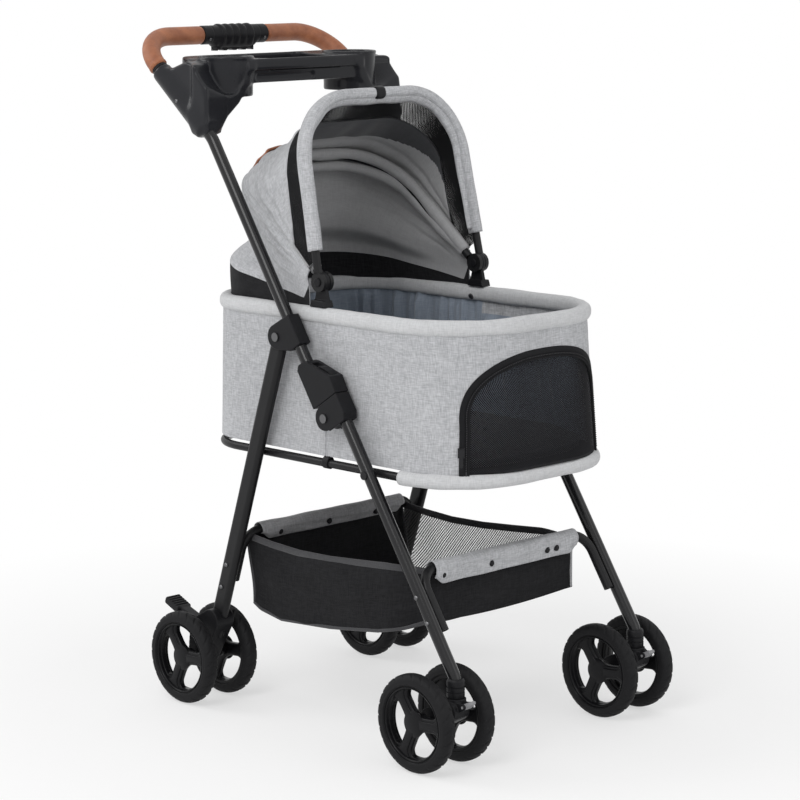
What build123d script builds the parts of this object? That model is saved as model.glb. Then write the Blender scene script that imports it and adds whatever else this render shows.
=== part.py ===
from build123d import *
import os
from math import asin, cos, radians, sin

os.makedirs("parts", exist_ok=True)

# Frame: X forward, Y to the stroller's left, Z up, millimetres, origin on the floor below the middle.

# Fits
running_fit = 0.05
face_gap = 0.3

# Wheels, in four pairs
wheel_radius = 70
wheel_width = 23
wheel_shoulder = 7
rim_radius = 55
rim_thickness = 5
rim_width = 19
spoke_width = 18
spoke_thickness = 11
spoke_turn = 5
wheel_boss_radius = 12
wheel_boss_reach = 8.5
pair_spacing = 78
pair_y = 190
front_axle_x = 286
rear_axle_x = -211
axle_radius = 4
axle_head_radius = 9
axle_head_thickness = 2

# Side tubes: the lower and the upper tube run parallel, one step apart
tube_radius = 9
tube_wall = 1.2
tube_rake = 32.78
tube_step = 26.5
frame_y = 188
pivot_radius = 4
pivot_head_radius = 6.5
pivot_head_thickness = 2

# Fold pivot of the handle on the front legs, and the latch around it
fold_z = 466
latch_width = 26
latch_seam = 20
latch_ear_radius = 18
latch_front = 42
latch_top = 88
latch_shoulder = 44
tube_tail = 12
thumb_slot_length = 40
thumb_slot_width = 14
thumb_button_length = 28
thumb_button_height = 5

# Handle
bend_drop = 142
bend_radius = 45
grip_radius = 14
bar_z = 991
bar_x = grip_radius - front_axle_x - wheel_radius
bar_corner = 62
grip_lead = 6
housing_half = 64
trigger_half = 38
trigger_width = 13
trigger_height = 10
trigger_travel = 4

# Tray
tray_depth = 118
tray_half = 166
tray_corner = 41
tray_recess = 18
tray_low_z = bar_z - 66
tray_high_z = tray_low_z + 36
tray_wall = 3
wing_wall = 5
cup_y = 125
cup_radius = 41
cup_low_z = tray_low_z - 19
cup_high_z = tray_high_z + 5
wing_inner_y = 160
wing_outer_y = 200
wing_tip = 36
wing_lean = 28
gusset_depth = 30
socket_radius = 15
socket_start = 30
socket_lead = 12
socket_gap = 6

# Rear legs
leg_pivot_along = 144.5
leg_pivot_back = 28.5
leg_slope = 0.336
leg_depth = 28
leg_thickness = 14
leg_wall = 1.6
leg_foot_z = 104
bracket_width = 22
bracket_radius = 18
bracket_sleeve = 12
bracket_low = 113
bracket_high = 160

# Cross tubes that carry the basket
cross_radius = 7
cross_wall = 1.2
cross_corner = 30
cross_top_z = 266
cross_end_z = 190

# Rear wheel block and brake pedal
block_half = 17
block_radius = 17
block_top_z = 128
pedal_x = -214
pedal_z = 116
pedal_half = 13
pedal_pin_radius = 3
pedal_pad_front = (-256, 132)
pedal_pad_rear = (-284, 144)
pedal_pad_half = 13
pedal_pad_thickness = 6

# Front legs and casters
front_bend = 22
foot_rise = 25.38
stem_x = 322
stem_radius = 6
caster_seat_z = 106
caster_bearing = 12
caster_radius = 14.5
caster_socket_height = 28
caster_neck_z = 88
caster_half = 15
lock_x = 343
lock_z = 97
lock_half = 6
lock_ear = 3
lock_tip = (352, 103)

# Carrier: a soft box on a hoop, with a rolled rim
hoop_z = 394
hoop_radius = 6
hoop_wall = 1.2
drain_radius = 2
hoop_half = 170
hoop_front_x = 316
hoop_rear_x = -229
hoop_front_corner = 112
hoop_rear_corner = 82
hoop_pin_radius = 3
hoop_sleeve_radius = 10
hoop_sleeve_x = 200
wall = 4
floor_wall = 4
shell_rise = 196
rim_roll = 11
pad_thickness = 22
plan_low = (-235, 325, 171, 84, 124)
plan_high = (-229, 309, 168, 82, 122)
plan_rim = (-224, 305, 163.5, 78, 118)

# Front window and its zip
window_half = 137
window_sill = 10
window_spring = 78
window_arch = 88
zip_width = 10
zip_height = 14
zip_depth = 5

# Canopy
knuckle_x = 30
knuckle_z = 653
knuckle_radius = 14
knuckle_plate = 6
bow_radius = 6
bow_wall = 1
bow_height = 264
bow_corner = 98
front_bow_half = 165.5
rear_bow_half = 152.7
bow_draw_in = 9
front_bow_lean = 11.5
rear_bow_lean = 52
cover_end_lean = 96
cover_low = 46
cover_thickness = 3
sleeve_radius = 12
sleeve_low = 45
strap_half = 82
strap_sweep = 12
strap_thickness = 4

# Basket
basket_half = 160
basket_wall = 3
basket_rear_low = (-118, 150)
basket_low = (-62, 143)
basket_mid = (148, 163)
basket_front_z = 194

rake = radians(tube_rake)
knee_z = fold_z + tube_step * sin(rake)
knee_x = stem_x - (knee_z - caster_seat_z - foot_rise) * sin(rake) / cos(rake)
fold_x = knee_x - tube_step * cos(rake)
sides = {"right": -1, "left": 1}


def frame_point(along, forward=0.0):
    x = fold_x - along * sin(rake) + forward * cos(rake)
    z = fold_z + along * cos(rake) + forward * sin(rake)
    return x, z


def front_tube_x(z):
    return knee_x - (z - knee_z) * sin(rake) / cos(rake)


leg_pivot_x, leg_pivot_z = frame_point(leg_pivot_along, -leg_pivot_back)


def rear_leg_x(z):
    return leg_pivot_x + leg_slope * (z - leg_pivot_z)


tube_up = Vector(-sin(rake), 0, cos(rake))
leg_up = Vector(leg_slope, 0, 1).normalized()
bend_z = bar_z - bend_drop
bend_x = fold_x - (bend_z - fold_z) * sin(rake) / cos(rake)
handle_run = Vector(bar_x - bend_x, 0, bar_z - bend_z)
handle_way = handle_run.normalized()
grip_start = handle_run.length - bar_corner - grip_lead
socket_end = grip_start - socket_gap
tray_front_x = bend_x
cup_x = tray_front_x - cup_radius


def handle_point(distance, y):
    return Vector(bend_x, y, bend_z) + handle_way * distance


def side_plane(y):
    return Plane.XZ.offset(-y)


def save(piece, name):
    piece.part.label = name
    export_step(piece.part, f"parts/{name}.step")


def round_bar(points, corner, radius, mode=Mode.ADD, close=False):
    with BuildLine() as route:
        FilletPolyline(*points, radius=corner, close=close)
    start = Plane(origin=route.line @ 0, z_dir=route.line % 0)
    with BuildSketch(start) as section:
        Circle(radius)
    sweep(sections=section.sketch, path=route.line, mode=mode)


def disc(x, z, y_from, y_to, radius, mode=Mode.ADD):
    with BuildSketch(side_plane(y_from)) as face:
        with Locations((x, z)):
            Circle(radius)
    extrude(face.sketch, amount=y_from - y_to, mode=mode)


def outline(points, y, half, mode=Mode.ADD):
    with BuildSketch(side_plane(y)) as face:
        with BuildLine():
            Polyline(*points, close=True)
        make_face()
    extrude(face.sketch, amount=half, both=True, mode=mode)


def round_rod(origin, direction, length, radius, mode=Mode.SUBTRACT):
    with BuildSketch(Plane(origin=origin, z_dir=direction)) as face:
        Circle(radius)
    extrude(face.sketch, amount=length, mode=mode)


def axle(x, y):
    end = pair_spacing / 2 + wheel_boss_reach + face_gap
    disc(x, wheel_radius, y - end, y + end, axle_radius)
    disc(x, wheel_radius, y - end - axle_head_thickness, y - end, axle_head_radius)
    disc(x, wheel_radius, y + end, y + end + axle_head_thickness, axle_head_radius)


def wheel(name, axle_x, centre_y, outward, hub_half):
    y = centre_y + outward * pair_spacing / 2
    middle = Plane(origin=(axle_x, y, wheel_radius), x_dir=(1, 0, 0), z_dir=(0, -1, 0))
    with BuildPart() as tyre:
        with BuildSketch(middle):
            Circle(wheel_radius)
            Circle(rim_radius + running_fit, mode=Mode.SUBTRACT)
        extrude(amount=wheel_width / 2, both=True)
        fillet(tyre.edges().filter_by(GeomType.CIRCLE).sort_by(SortBy.RADIUS)[-2:], wheel_shoulder)
    save(tyre, f"{name}_tyre")

    with BuildPart() as hub:
        with BuildSketch(middle):
            Circle(rim_radius)
            Circle(rim_radius - rim_thickness, mode=Mode.SUBTRACT)
        extrude(amount=rim_width / 2, both=True)
        with BuildSketch(middle):
            with PolarLocations(rim_radius / 2, 3, start_angle=spoke_turn):
                Rectangle(rim_radius - rim_thickness, spoke_width)
        extrude(amount=spoke_thickness / 2, both=True)
        inner = centre_y + outward * (hub_half + face_gap)
        outer = y + outward * wheel_boss_reach
        disc(axle_x, wheel_radius, inner, outer, wheel_boss_radius)
        disc(axle_x, wheel_radius, inner, outer, axle_radius + running_fit, Mode.SUBTRACT)
        disc(axle_x, wheel_radius, outer, outer + outward * wheel_width, wheel_boss_radius, Mode.SUBTRACT)
    save(hub, f"{name}_hub")


for side, sign in sides.items():
    for place, outward in (("outer", sign), ("inner", -sign)):
        wheel(f"rear_{side}_{place}", rear_axle_x, sign * pair_y, outward, block_half)
        wheel(f"front_{side}_{place}", front_axle_x, sign * pair_y, outward, caster_half)

# Rear frame
leg_foot = Vector(rear_leg_x(leg_foot_z), 0, leg_foot_z)
leg_length = (leg_pivot_z - leg_foot_z) / leg_up.Z


def leg_section(y, depth, thickness, length, mode=Mode.ADD):
    foot = Plane(origin=leg_foot + Vector(0, y, 0), x_dir=leg_up.cross(Vector(0, 1, 0)), z_dir=leg_up)
    with BuildSketch(foot) as section:
        SlotOverall(depth, thickness)
    extrude(section.sketch, amount=length, mode=mode)


for side, sign in sides.items():
    y = sign * frame_y
    with BuildPart() as rear_leg:
        leg_section(y, leg_depth, leg_thickness, leg_length)
        leg_section(y, leg_depth - 2 * leg_wall, leg_thickness - 2 * leg_wall, leg_length, Mode.SUBTRACT)
        disc(leg_pivot_x, leg_pivot_z, y - leg_thickness / 2, y + leg_thickness / 2, leg_depth / 2)
        pin_hole = pivot_radius + running_fit
        disc(leg_pivot_x, leg_pivot_z, y - leg_depth, y + leg_depth, pin_hole, Mode.SUBTRACT)
    save(rear_leg, f"rear_leg_{side}")

    centre = sign * pair_y
    with BuildPart() as block:
        with BuildSketch(side_plane(centre)):
            with Locations((rear_axle_x, wheel_radius)):
                Circle(block_radius)
            with Locations((rear_leg_x(block_top_z), block_top_z)):
                Circle(block_radius)
            with Locations((pedal_x, pedal_z)):
                Circle(block_radius / 2)
            make_hull()
        extrude(amount=block_half, both=True)
        play = 2 * running_fit
        leg_section(y, leg_depth + play, leg_thickness + play, leg_length, Mode.SUBTRACT)
        with BuildSketch(side_plane(centre)):
            with Locations((pedal_x, pedal_z)):
                Circle(block_radius / 2 + 3)
                with Locations((-block_radius, block_radius / 2)):
                    Rectangle(2 * block_radius, 2 * block_radius)
        extrude(amount=pedal_half + face_gap, both=True, mode=Mode.SUBTRACT)
        bore = pedal_pin_radius + running_fit
        disc(pedal_x, pedal_z, centre - block_half, centre + block_half, bore, Mode.SUBTRACT)
        axle(rear_axle_x, centre)
    save(block, f"rear_block_{side}")

    with BuildPart() as pedal:
        disc(pedal_x, pedal_z, centre - pedal_half, centre + pedal_half, block_radius / 2)
        disc(pedal_x, pedal_z, centre - block_half, centre + block_half, pedal_pin_radius)
        with BuildSketch(side_plane(centre)):
            with Locations((pedal_x, pedal_z)):
                Circle(block_radius / 2)
            with Locations(pedal_pad_front):
                Circle(pedal_pad_thickness / 2)
            make_hull()
        extrude(amount=pedal_half - 2, both=True)
        with BuildSketch(side_plane(centre)):
            with Locations(pedal_pad_front, pedal_pad_rear):
                Circle(pedal_pad_thickness / 2)
            make_hull()
        extrude(amount=pedal_pad_half, both=True)
    save(pedal, f"brake_pedal_{side}")

leg_cross_y = frame_y - leg_thickness / 2 - cross_radius - face_gap / 3
with BuildPart() as rear_cross_tube:
    rear_route = [
        (rear_leg_x(z), turn * leg_cross_y, z)
        for turn, z in ((-1, cross_end_z), (-1, cross_top_z), (1, cross_top_z), (1, cross_end_z))
    ]
    round_bar(rear_route, cross_corner, cross_radius)
    round_bar(rear_route, cross_corner, cross_radius - cross_wall, Mode.SUBTRACT)
save(rear_cross_tube, "rear_cross_tube")

# Handle frame: one tube bent into a long loop
tail = frame_point(-tube_tail)
handle_route = [
    (tail[0], -frame_y, tail[1]),
    (bend_x, -frame_y, bend_z),
    (bar_x, -frame_y, bar_z),
    (bar_x, frame_y, bar_z),
    (bend_x, frame_y, bend_z),
    (tail[0], frame_y, tail[1]),
]
handle_corners = [bend_radius, bar_corner, bar_corner, bend_radius]

with BuildPart() as handle_tube:
    round_bar(handle_route, handle_corners, tube_radius)
    round_bar(handle_route, handle_corners, tube_radius - tube_wall, Mode.SUBTRACT)
    disc(fold_x, fold_z, -2 * frame_y, 2 * frame_y, pivot_radius, Mode.SUBTRACT)
save(handle_tube, "handle_tube")

shoulder_high = Vector(latch_top - 4, bracket_sleeve)
shoulder_low = Vector(latch_seam + 25, latch_shoulder)
shoulder_way = (shoulder_low - shoulder_high).normalized()
shoulder_out = Vector(-shoulder_way.Y, shoulder_way.X)
shoulder_out = shoulder_out if shoulder_out.Y > 0 else -shoulder_out
shoulder_mid = (shoulder_high + shoulder_low) * 0.5

def on_shoulder(slide, rise):
    spot = shoulder_mid + shoulder_way * slide + shoulder_out * rise
    return frame_point(spot.X, spot.Y)


for side, sign in sides.items():
    y = sign * frame_y
    with BuildPart() as grip:
        grip_route = [handle_point(grip_start, y), (bar_x, y, bar_z), (bar_x, sign * housing_half, bar_z)]
        round_bar(grip_route, bar_corner, grip_radius)
        round_bar(handle_route, handle_corners, tube_radius + running_fit, Mode.SUBTRACT)
    save(grip, f"grip_{side}")

    with BuildPart() as bracket:
        with BuildSketch(side_plane(y)):
            with Locations((leg_pivot_x, leg_pivot_z)):
                Circle(bracket_radius)
            with BuildLine():
                Polyline(
                    frame_point(bracket_low, -bracket_sleeve),
                    frame_point(bracket_low, bracket_sleeve),
                    frame_point(bracket_high, bracket_sleeve),
                    frame_point(bracket_high, -bracket_sleeve),
                    close=True,
                )
            make_face()
            make_hull()
        extrude(amount=bracket_width / 2, both=True)
        slot = -bracket_sleeve - face_gap
        outline(
            [
                frame_point(bracket_low - 60, slot),
                frame_point(bracket_high + 60, slot),
                frame_point(bracket_high + 60, slot - 60),
                frame_point(bracket_low - 60, slot - 60),
            ],
            y,
            leg_thickness / 2 + face_gap,
            Mode.SUBTRACT,
        )
        foot_x, foot_z = frame_point(bracket_low - 10)
        round_rod((foot_x, y, foot_z), tube_up, bracket_high, tube_radius + running_fit)
        disc(leg_pivot_x, leg_pivot_z, y - bracket_width, y + bracket_width, pivot_radius, Mode.SUBTRACT)
    save(bracket, f"leg_bracket_{side}")

    with BuildPart() as latch_upper:
        outline(
            [
                frame_point(latch_seam + 2 * face_gap, -latch_width / 2),
                frame_point(latch_top - 6, -latch_width / 2),
                frame_point(latch_top, -latch_width / 4),
                frame_point(latch_top, bracket_sleeve / 2),
                frame_point(shoulder_high.X, shoulder_high.Y),
                frame_point(shoulder_low.X, shoulder_low.Y),
                frame_point(latch_seam + 2 * face_gap, latch_front),
            ],
            y,
            latch_width / 2,
        )
        outline(
            [
                on_shoulder(-thumb_slot_length / 2, -thumb_button_height),
                on_shoulder(thumb_slot_length / 2, -thumb_button_height),
                on_shoulder(thumb_slot_length / 2, thumb_button_height),
                on_shoulder(-thumb_slot_length / 2, thumb_button_height),
            ],
            y,
            thumb_slot_width / 2,
            Mode.SUBTRACT,
        )
        round_rod((fold_x, y, fold_z), tube_up, 2 * latch_top, tube_radius + running_fit)
    save(latch_upper, f"latch_upper_{side}")

    with BuildPart() as latch_slide:
        low_end = thumb_slot_length / 2 - face_gap
        high_end = low_end - thumb_button_length
        outline(
            [
                on_shoulder(high_end, face_gap - thumb_button_height),
                on_shoulder(low_end, face_gap - thumb_button_height),
                on_shoulder(low_end, 0),
                on_shoulder(low_end - 8, 2),
                on_shoulder(high_end + 8, 2),
                on_shoulder(high_end, 0),
            ],
            y,
            thumb_slot_width / 2 - face_gap,
        )
    save(latch_slide, f"latch_slide_{side}")

with BuildPart() as trigger_housing:
    disc(bar_x, bar_z, housing_half - face_gap, face_gap - housing_half, grip_radius)
    trigger_bed = bar_z - grip_radius - 4
    outline(
        [
            (bar_x - trigger_width / 2 - 3, trigger_bed),
            (bar_x + trigger_width / 2 + 3, trigger_bed),
            (bar_x + trigger_width / 2 + 3, bar_z),
            (bar_x - trigger_width / 2 - 3, bar_z),
        ],
        0,
        trigger_half + 6,
    )
    disc(bar_x, bar_z, housing_half, -housing_half, tube_radius + running_fit, Mode.SUBTRACT)
    outline(
        [
            (bar_x - trigger_width / 2, trigger_bed - 1),
            (bar_x + trigger_width / 2, trigger_bed - 1),
            (bar_x + trigger_width / 2, bar_z - tube_radius - 1),
            (bar_x - trigger_width / 2, bar_z - tube_radius - 1),
        ],
        0,
        trigger_half,
        Mode.SUBTRACT,
    )
save(trigger_housing, "trigger_housing")

with BuildPart() as fold_trigger:
    trigger_top = bar_z - tube_radius - 1 - trigger_travel - face_gap
    outline(
        [
            (bar_x - trigger_width / 2 + face_gap, trigger_top - trigger_height),
            (bar_x + trigger_width / 2 - face_gap, trigger_top - trigger_height),
            (bar_x + trigger_width / 2 - face_gap, trigger_top),
            (bar_x - trigger_width / 2 + face_gap, trigger_top),
        ],
        0,
        trigger_half - face_gap,
    )
    finger = trigger_half / 2
    with BuildSketch(Plane.YZ.offset(bar_x)):
        with Locations((0, trigger_top - trigger_height - 8)):
            with GridLocations(finger, 1, 4, 1):
                Circle(finger / 2 + 1)
    extrude(amount=trigger_width, both=True, mode=Mode.SUBTRACT)
save(fold_trigger, "fold_trigger")

with BuildPart() as parent_tray:
    tray_mid_x = tray_front_x - tray_depth / 2
    tray_floor_z = tray_high_z - tray_recess
    below = handle_way.cross(Vector(0, 1, 0)).normalized()
    below = below if below.Z < 0 else -below
    sole_low = handle_point(socket_start - socket_lead, 0) + below * socket_radius
    sole_high = handle_point(socket_end, 0) + below * socket_radius
    crown_high = handle_point(socket_end, 0) - below * socket_radius
    wing = [
        (sole_low.X, sole_low.Z),
        (sole_low.X + wing_tip, sole_low.Z),
        (tray_front_x - tray_wall, cup_low_z),
        (tray_front_x - wing_lean, tray_high_z - tray_wall),
        (cup_x - cup_radius, cup_high_z),
        (crown_high.X, crown_high.Z),
        (sole_high.X, sole_high.Z),
    ]
    for sign in sides.values():
        outline(wing, sign * (wing_inner_y + wing_outer_y) / 2, (wing_outer_y - wing_inner_y) / 2)
    fillet(parent_tray.edges().filter_by(Axis.Y), 4)
    for sign in sides.values():
        with BuildSketch(side_plane(sign * wing_inner_y)):
            with BuildLine():
                Polyline(*wing, close=True)
            make_face()
            offset(amount=-wing_wall, mode=Mode.REPLACE)
        extrude(amount=-sign * (wing_outer_y - wing_inner_y - wing_wall), mode=Mode.SUBTRACT)
    for sign in sides.values():
        socket = handle_point(socket_start - socket_lead, sign * frame_y)
        round_rod(socket, handle_way, socket_end - socket_start + socket_lead, socket_radius, Mode.ADD)
        with BuildSketch(Plane.YZ.offset(tray_front_x - tray_wall / 2)):
            with BuildLine():
                Polyline(
                    (sign * wing_outer_y, sole_low.Z + tray_wall),
                    (sign * (frame_y - socket_radius), sole_low.Z + tray_wall),
                    (sign * (cup_y + tray_wall), cup_low_z - 3 * tray_wall),
                    (sign * (cup_y - cup_radius / 2), tray_low_z + tray_wall),
                    (sign * cup_y, tray_low_z + tray_wall),
                    (sign * (cup_y + 2 * wing_wall), cup_low_z),
                    (sign * wing_outer_y, cup_low_z),
                    close=True,
                )
            make_face()
        extrude(amount=-gusset_depth)
    with BuildSketch(Plane.XY.offset(tray_low_z)):
        with Locations((tray_mid_x, 0)):
            RectangleRounded(tray_depth, 2 * tray_half, tray_corner)
    extrude(amount=tray_high_z - tray_low_z)
    with BuildSketch(Plane.XY.offset(tray_low_z)):
        with Locations((tray_mid_x, 0)):
            RectangleRounded(tray_depth - 2 * tray_wall, 2 * (tray_half - tray_wall), tray_corner - tray_wall)
    extrude(amount=tray_floor_z - tray_wall - tray_low_z, mode=Mode.SUBTRACT)
    for sign in sides.values():
        with BuildSketch(Plane.XY.offset(cup_low_z)):
            with Locations((cup_x, sign * cup_y)):
                Circle(cup_radius)
        extrude(amount=cup_high_z - cup_low_z)
    with BuildSketch(Plane.XY.offset(tray_floor_z)):
        with Locations((tray_mid_x, 0)):
            RectangleRounded(tray_depth - 2 * tray_wall, 2 * (cup_y - cup_radius - tray_wall), 12)
    extrude(amount=2 * tray_recess, mode=Mode.SUBTRACT)
    for sign in sides.values():
        with BuildSketch(Plane.XY.offset(cup_low_z + tray_wall)):
            with Locations((cup_x, sign * cup_y)):
                Circle(cup_radius - tray_wall)
        extrude(amount=cup_high_z, mode=Mode.SUBTRACT)
    round_bar(handle_route, handle_corners, tube_radius + running_fit, Mode.SUBTRACT)
save(parent_tray, "parent_tray")

with BuildPart() as fold_pins:
    for sign in sides.values():
        y = sign * frame_y
        for x, z, width in ((fold_x, fold_z, latch_width), (leg_pivot_x, leg_pivot_z, bracket_width)):
            reach = width / 2 + face_gap
            disc(x, z, y - reach, y + reach, pivot_radius)
            disc(x, z, y - reach - pivot_head_thickness, y - reach, pivot_head_radius)
            disc(x, z, y + reach, y + reach + pivot_head_thickness, pivot_head_radius)
save(fold_pins, "fold_pins")

# Front frame
tube_top = frame_point(latch_seam - 2, tube_step)
tube_end_z = caster_seat_z + caster_bearing


def front_route(y):
    return [(tube_top[0], y, tube_top[1]), (stem_x, y, caster_seat_z + foot_rise), (stem_x, y, tube_end_z)]


hoop_pivot_x = front_tube_x(hoop_z)

for side, sign in sides.items():
    y = sign * frame_y
    with BuildPart() as front_leg:
        round_bar(front_route(y), front_bend, tube_radius)
        round_bar(front_route(y), front_bend, tube_radius - tube_wall, Mode.SUBTRACT)
        disc(hoop_pivot_x, hoop_z, y - 20, y + 20, hoop_pin_radius + running_fit, Mode.SUBTRACT)
    save(front_leg, f"front_leg_{side}")

    with BuildPart() as latch_lower:
        outline(
            [
                frame_point(latch_seam, 0),
                frame_point(latch_seam, latch_front),
                frame_point(-latch_seam / 2, latch_front),
                frame_point(-latch_seam, latch_front - 6),
                frame_point(-latch_seam, 0),
            ],
            y,
            latch_width / 2,
        )
        disc(fold_x, fold_z, y - latch_width / 2, y + latch_width / 2, latch_ear_radius)
        slot = tube_radius + face_gap
        swing = tube_radius + tube_tail / 2 + face_gap
        disc(fold_x, fold_z, y - slot, y + slot, swing, Mode.SUBTRACT)
        outline(
            [
                frame_point(2 * latch_seam, slot),
                frame_point(2 * latch_seam, -2 * latch_seam),
                frame_point(-2 * latch_seam, -2 * latch_seam),
                frame_point(-2 * latch_seam, slot),
            ],
            y,
            slot,
            Mode.SUBTRACT,
        )
        round_rod((tube_top[0], y, tube_top[1]), -tube_up, 2 * latch_top, tube_radius + running_fit)
        disc(fold_x, fold_z, y - latch_width, y + latch_width, pivot_radius + running_fit, Mode.SUBTRACT)
    save(latch_lower, f"latch_lower_{side}")

front_cross_y = frame_y - tube_radius - cross_radius - face_gap / 3
with BuildPart() as front_cross_tube:
    front_cross_route = [
        (front_tube_x(z), turn * front_cross_y, z)
        for turn, z in ((-1, cross_end_z), (-1, cross_top_z), (1, cross_top_z), (1, cross_end_z))
    ]
    round_bar(front_cross_route, cross_corner, cross_radius)
    round_bar(front_cross_route, cross_corner, cross_radius - cross_wall, Mode.SUBTRACT)
save(front_cross_tube, "front_cross_tube")

with BuildPart() as caster_sockets:
    for sign in sides.values():
        y = sign * frame_y
        with BuildSketch(Plane.XY.offset(caster_seat_z)):
            with Locations((stem_x, y)):
                Circle(caster_radius)
        extrude(amount=caster_socket_height)
    fillet(caster_sockets.faces().sort_by(Axis.Z)[-2:].edges(), 4)
    for sign in sides.values():
        y = sign * frame_y
        round_bar(front_route(y), front_bend, tube_radius + running_fit, Mode.SUBTRACT)
        round_rod((stem_x, y, caster_seat_z), (0, 0, 1), caster_bearing, stem_radius + running_fit)
save(caster_sockets, "caster_sockets")

for side, sign in sides.items():
    y = sign * frame_y
    centre = sign * pair_y
    with BuildPart() as fork:
        with BuildSketch(side_plane(centre)):
            with Locations((stem_x, caster_neck_z)):
                Circle(caster_radius)
            with Locations((front_axle_x, wheel_radius)):
                Circle(block_radius)
            make_hull()
        extrude(amount=caster_half, both=True)
        with BuildSketch(side_plane(y)):
            with Locations((lock_x, lock_z)):
                Circle(5)
            with Locations((stem_x + 8, lock_z - 4)):
                Circle(7)
            make_hull()
        extrude(amount=lock_half + face_gap + lock_ear, both=True)
        with BuildSketch(side_plane(y)):
            with Locations((lock_x + 4, lock_z)):
                Rectangle(2 * (lock_x + 4 - stem_x - caster_radius), 30)
        extrude(amount=lock_half + face_gap, both=True, mode=Mode.SUBTRACT)
        round_rod((stem_x, y, caster_neck_z - 8), (0, 0, 1), caster_seat_z - face_gap - caster_neck_z + 8,
                   caster_radius, Mode.ADD)
        round_rod((stem_x, y, caster_neck_z), (0, 0, 1), tube_end_z - face_gap - caster_neck_z,
                   stem_radius, Mode.ADD)
        disc(lock_x, lock_z, y - 20, y + 20, 2 + running_fit, Mode.SUBTRACT)
        axle(front_axle_x, centre)
    save(fork, f"caster_fork_{side}")

    with BuildPart() as lock:
        disc(lock_x, lock_z, y - lock_half - face_gap - lock_ear, y + lock_half + face_gap + lock_ear, 2)
        with BuildSketch(side_plane(y)):
            with Locations((lock_x, lock_z)):
                Circle(4)
            with Locations(lock_tip):
                Circle(2.5)
            make_hull()
        extrude(amount=lock_half, both=True)
    save(lock, f"caster_lock_{side}")

# Carrier
hoop_route = [
    (hoop_rear_x, -hoop_half, hoop_z),
    (hoop_front_x, -hoop_half, hoop_z),
    (hoop_front_x, hoop_half, hoop_z),
    (hoop_rear_x, hoop_half, hoop_z),
]
hoop_corners = [hoop_rear_corner, hoop_front_corner, hoop_front_corner, hoop_rear_corner]

with BuildPart() as bottom_hoop:
    round_bar(hoop_route, hoop_corners, hoop_radius, close=True)
    round_bar(hoop_route, hoop_corners, hoop_radius - hoop_wall, Mode.SUBTRACT, close=True)
    round_rod((hoop_rear_x, 0, hoop_z - 2 * hoop_radius), (0, 0, 1), 2 * hoop_radius, drain_radius)
    for sign in sides.values():
        outer_face = frame_y + tube_radius + face_gap
        stub_end = frame_y - leg_thickness / 2 - face_gap
        disc(hoop_pivot_x, hoop_z, sign * hoop_half, sign * outer_face, hoop_pin_radius)
        disc(hoop_pivot_x, hoop_z, sign * outer_face, sign * (outer_face + 2), 2 * hoop_pin_radius)
        disc(rear_leg_x(hoop_z), hoop_z, sign * hoop_half, sign * stub_end, hoop_radius - 1)
save(bottom_hoop, "bottom_hoop")

sleeve_route = [
    (hoop_sleeve_x, -hoop_half, hoop_z),
    (hoop_front_x, -hoop_half, hoop_z),
    (hoop_front_x, hoop_half, hoop_z),
    (hoop_sleeve_x, hoop_half, hoop_z),
]
with BuildPart() as hoop_sleeve:
    round_bar(sleeve_route, hoop_front_corner, hoop_sleeve_radius)
    round_bar(hoop_route, hoop_corners, hoop_radius + face_gap, Mode.SUBTRACT, close=True)
save(hoop_sleeve, "hoop_sleeve")

shell_low = hoop_z + hoop_sleeve_radius + face_gap
shell_high = shell_low + shell_rise


def plan_at(plan, z, inset=0.0):
    rear, front, half, rear_corner, front_corner = plan
    with BuildSketch(Plane.XY.offset(z)) as level:
        with Locations(((rear + front) / 2, 0)):
            Rectangle(front - rear - 2 * inset, 2 * (half - inset))
        fillet(level.vertices().group_by(Axis.X)[-1], front_corner - inset)
        fillet(level.vertices().group_by(Axis.X)[0], rear_corner - inset)
    return level.sketch


def wall_loft():
    loft(sections=[plan_at(plan_low, shell_low), plan_at(plan_high, shell_high)])
    loft(
        sections=[plan_at(plan_low, shell_low + floor_wall, wall), plan_at(plan_high, shell_high, wall)],
        mode=Mode.SUBTRACT,
    )


def window_face(margin, mode):
    sill = shell_low + window_sill
    with BuildSketch(Plane.YZ.offset(plan_high[1] - plan_high[4])) as opening:
        with Locations((0, sill + window_spring)):
            Ellipse(window_half - margin, window_arch - margin)
        with Locations((0, sill + window_spring / 2 + margin / 2)):
            Rectangle(2 * (window_half - margin), window_spring - margin)
        with Locations((0, sill + margin - window_arch)):
            Rectangle(4 * window_half, 2 * window_arch, mode=Mode.SUBTRACT)
    extrude(opening.sketch, amount=2 * plan_high[4], mode=mode)


def rim_corner_route(plan, z):
    rear, front, half = plan[:3]
    return [(rear, -half, z), (front, -half, z), (front, half, z), (rear, half, z)]


rim_z = shell_high + rim_roll / 2
rim_top = rim_z + rim_roll
rim_corners = [plan_rim[3], plan_rim[4], plan_rim[4], plan_rim[3]]

with BuildPart() as carrier_shell:
    wall_loft()
    round_bar(rim_corner_route(plan_rim, rim_z), rim_corners, rim_roll, close=True)
    window_face(0, Mode.SUBTRACT)
save(carrier_shell, "carrier_shell")

with BuildPart() as mesh_door:
    wall_loft()
    window_face(face_gap, Mode.INTERSECT)
save(mesh_door, "mesh_door")

with BuildPart() as carrier_pad:
    pad_low = shell_low + floor_wall + face_gap
    extrude(plan_at(plan_high, pad_low, 2 * wall), amount=pad_thickness)
    fillet(carrier_pad.faces().sort_by(Axis.Z)[-1].edges(), pad_thickness / 2)
    fillet(carrier_pad.faces().sort_by(Axis.Z)[0].edges(), pad_thickness / 3)
save(carrier_pad, "carrier_pad")

zip_turn = asin((window_half - plan_low[2] + plan_low[4]) / plan_low[4])


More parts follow.
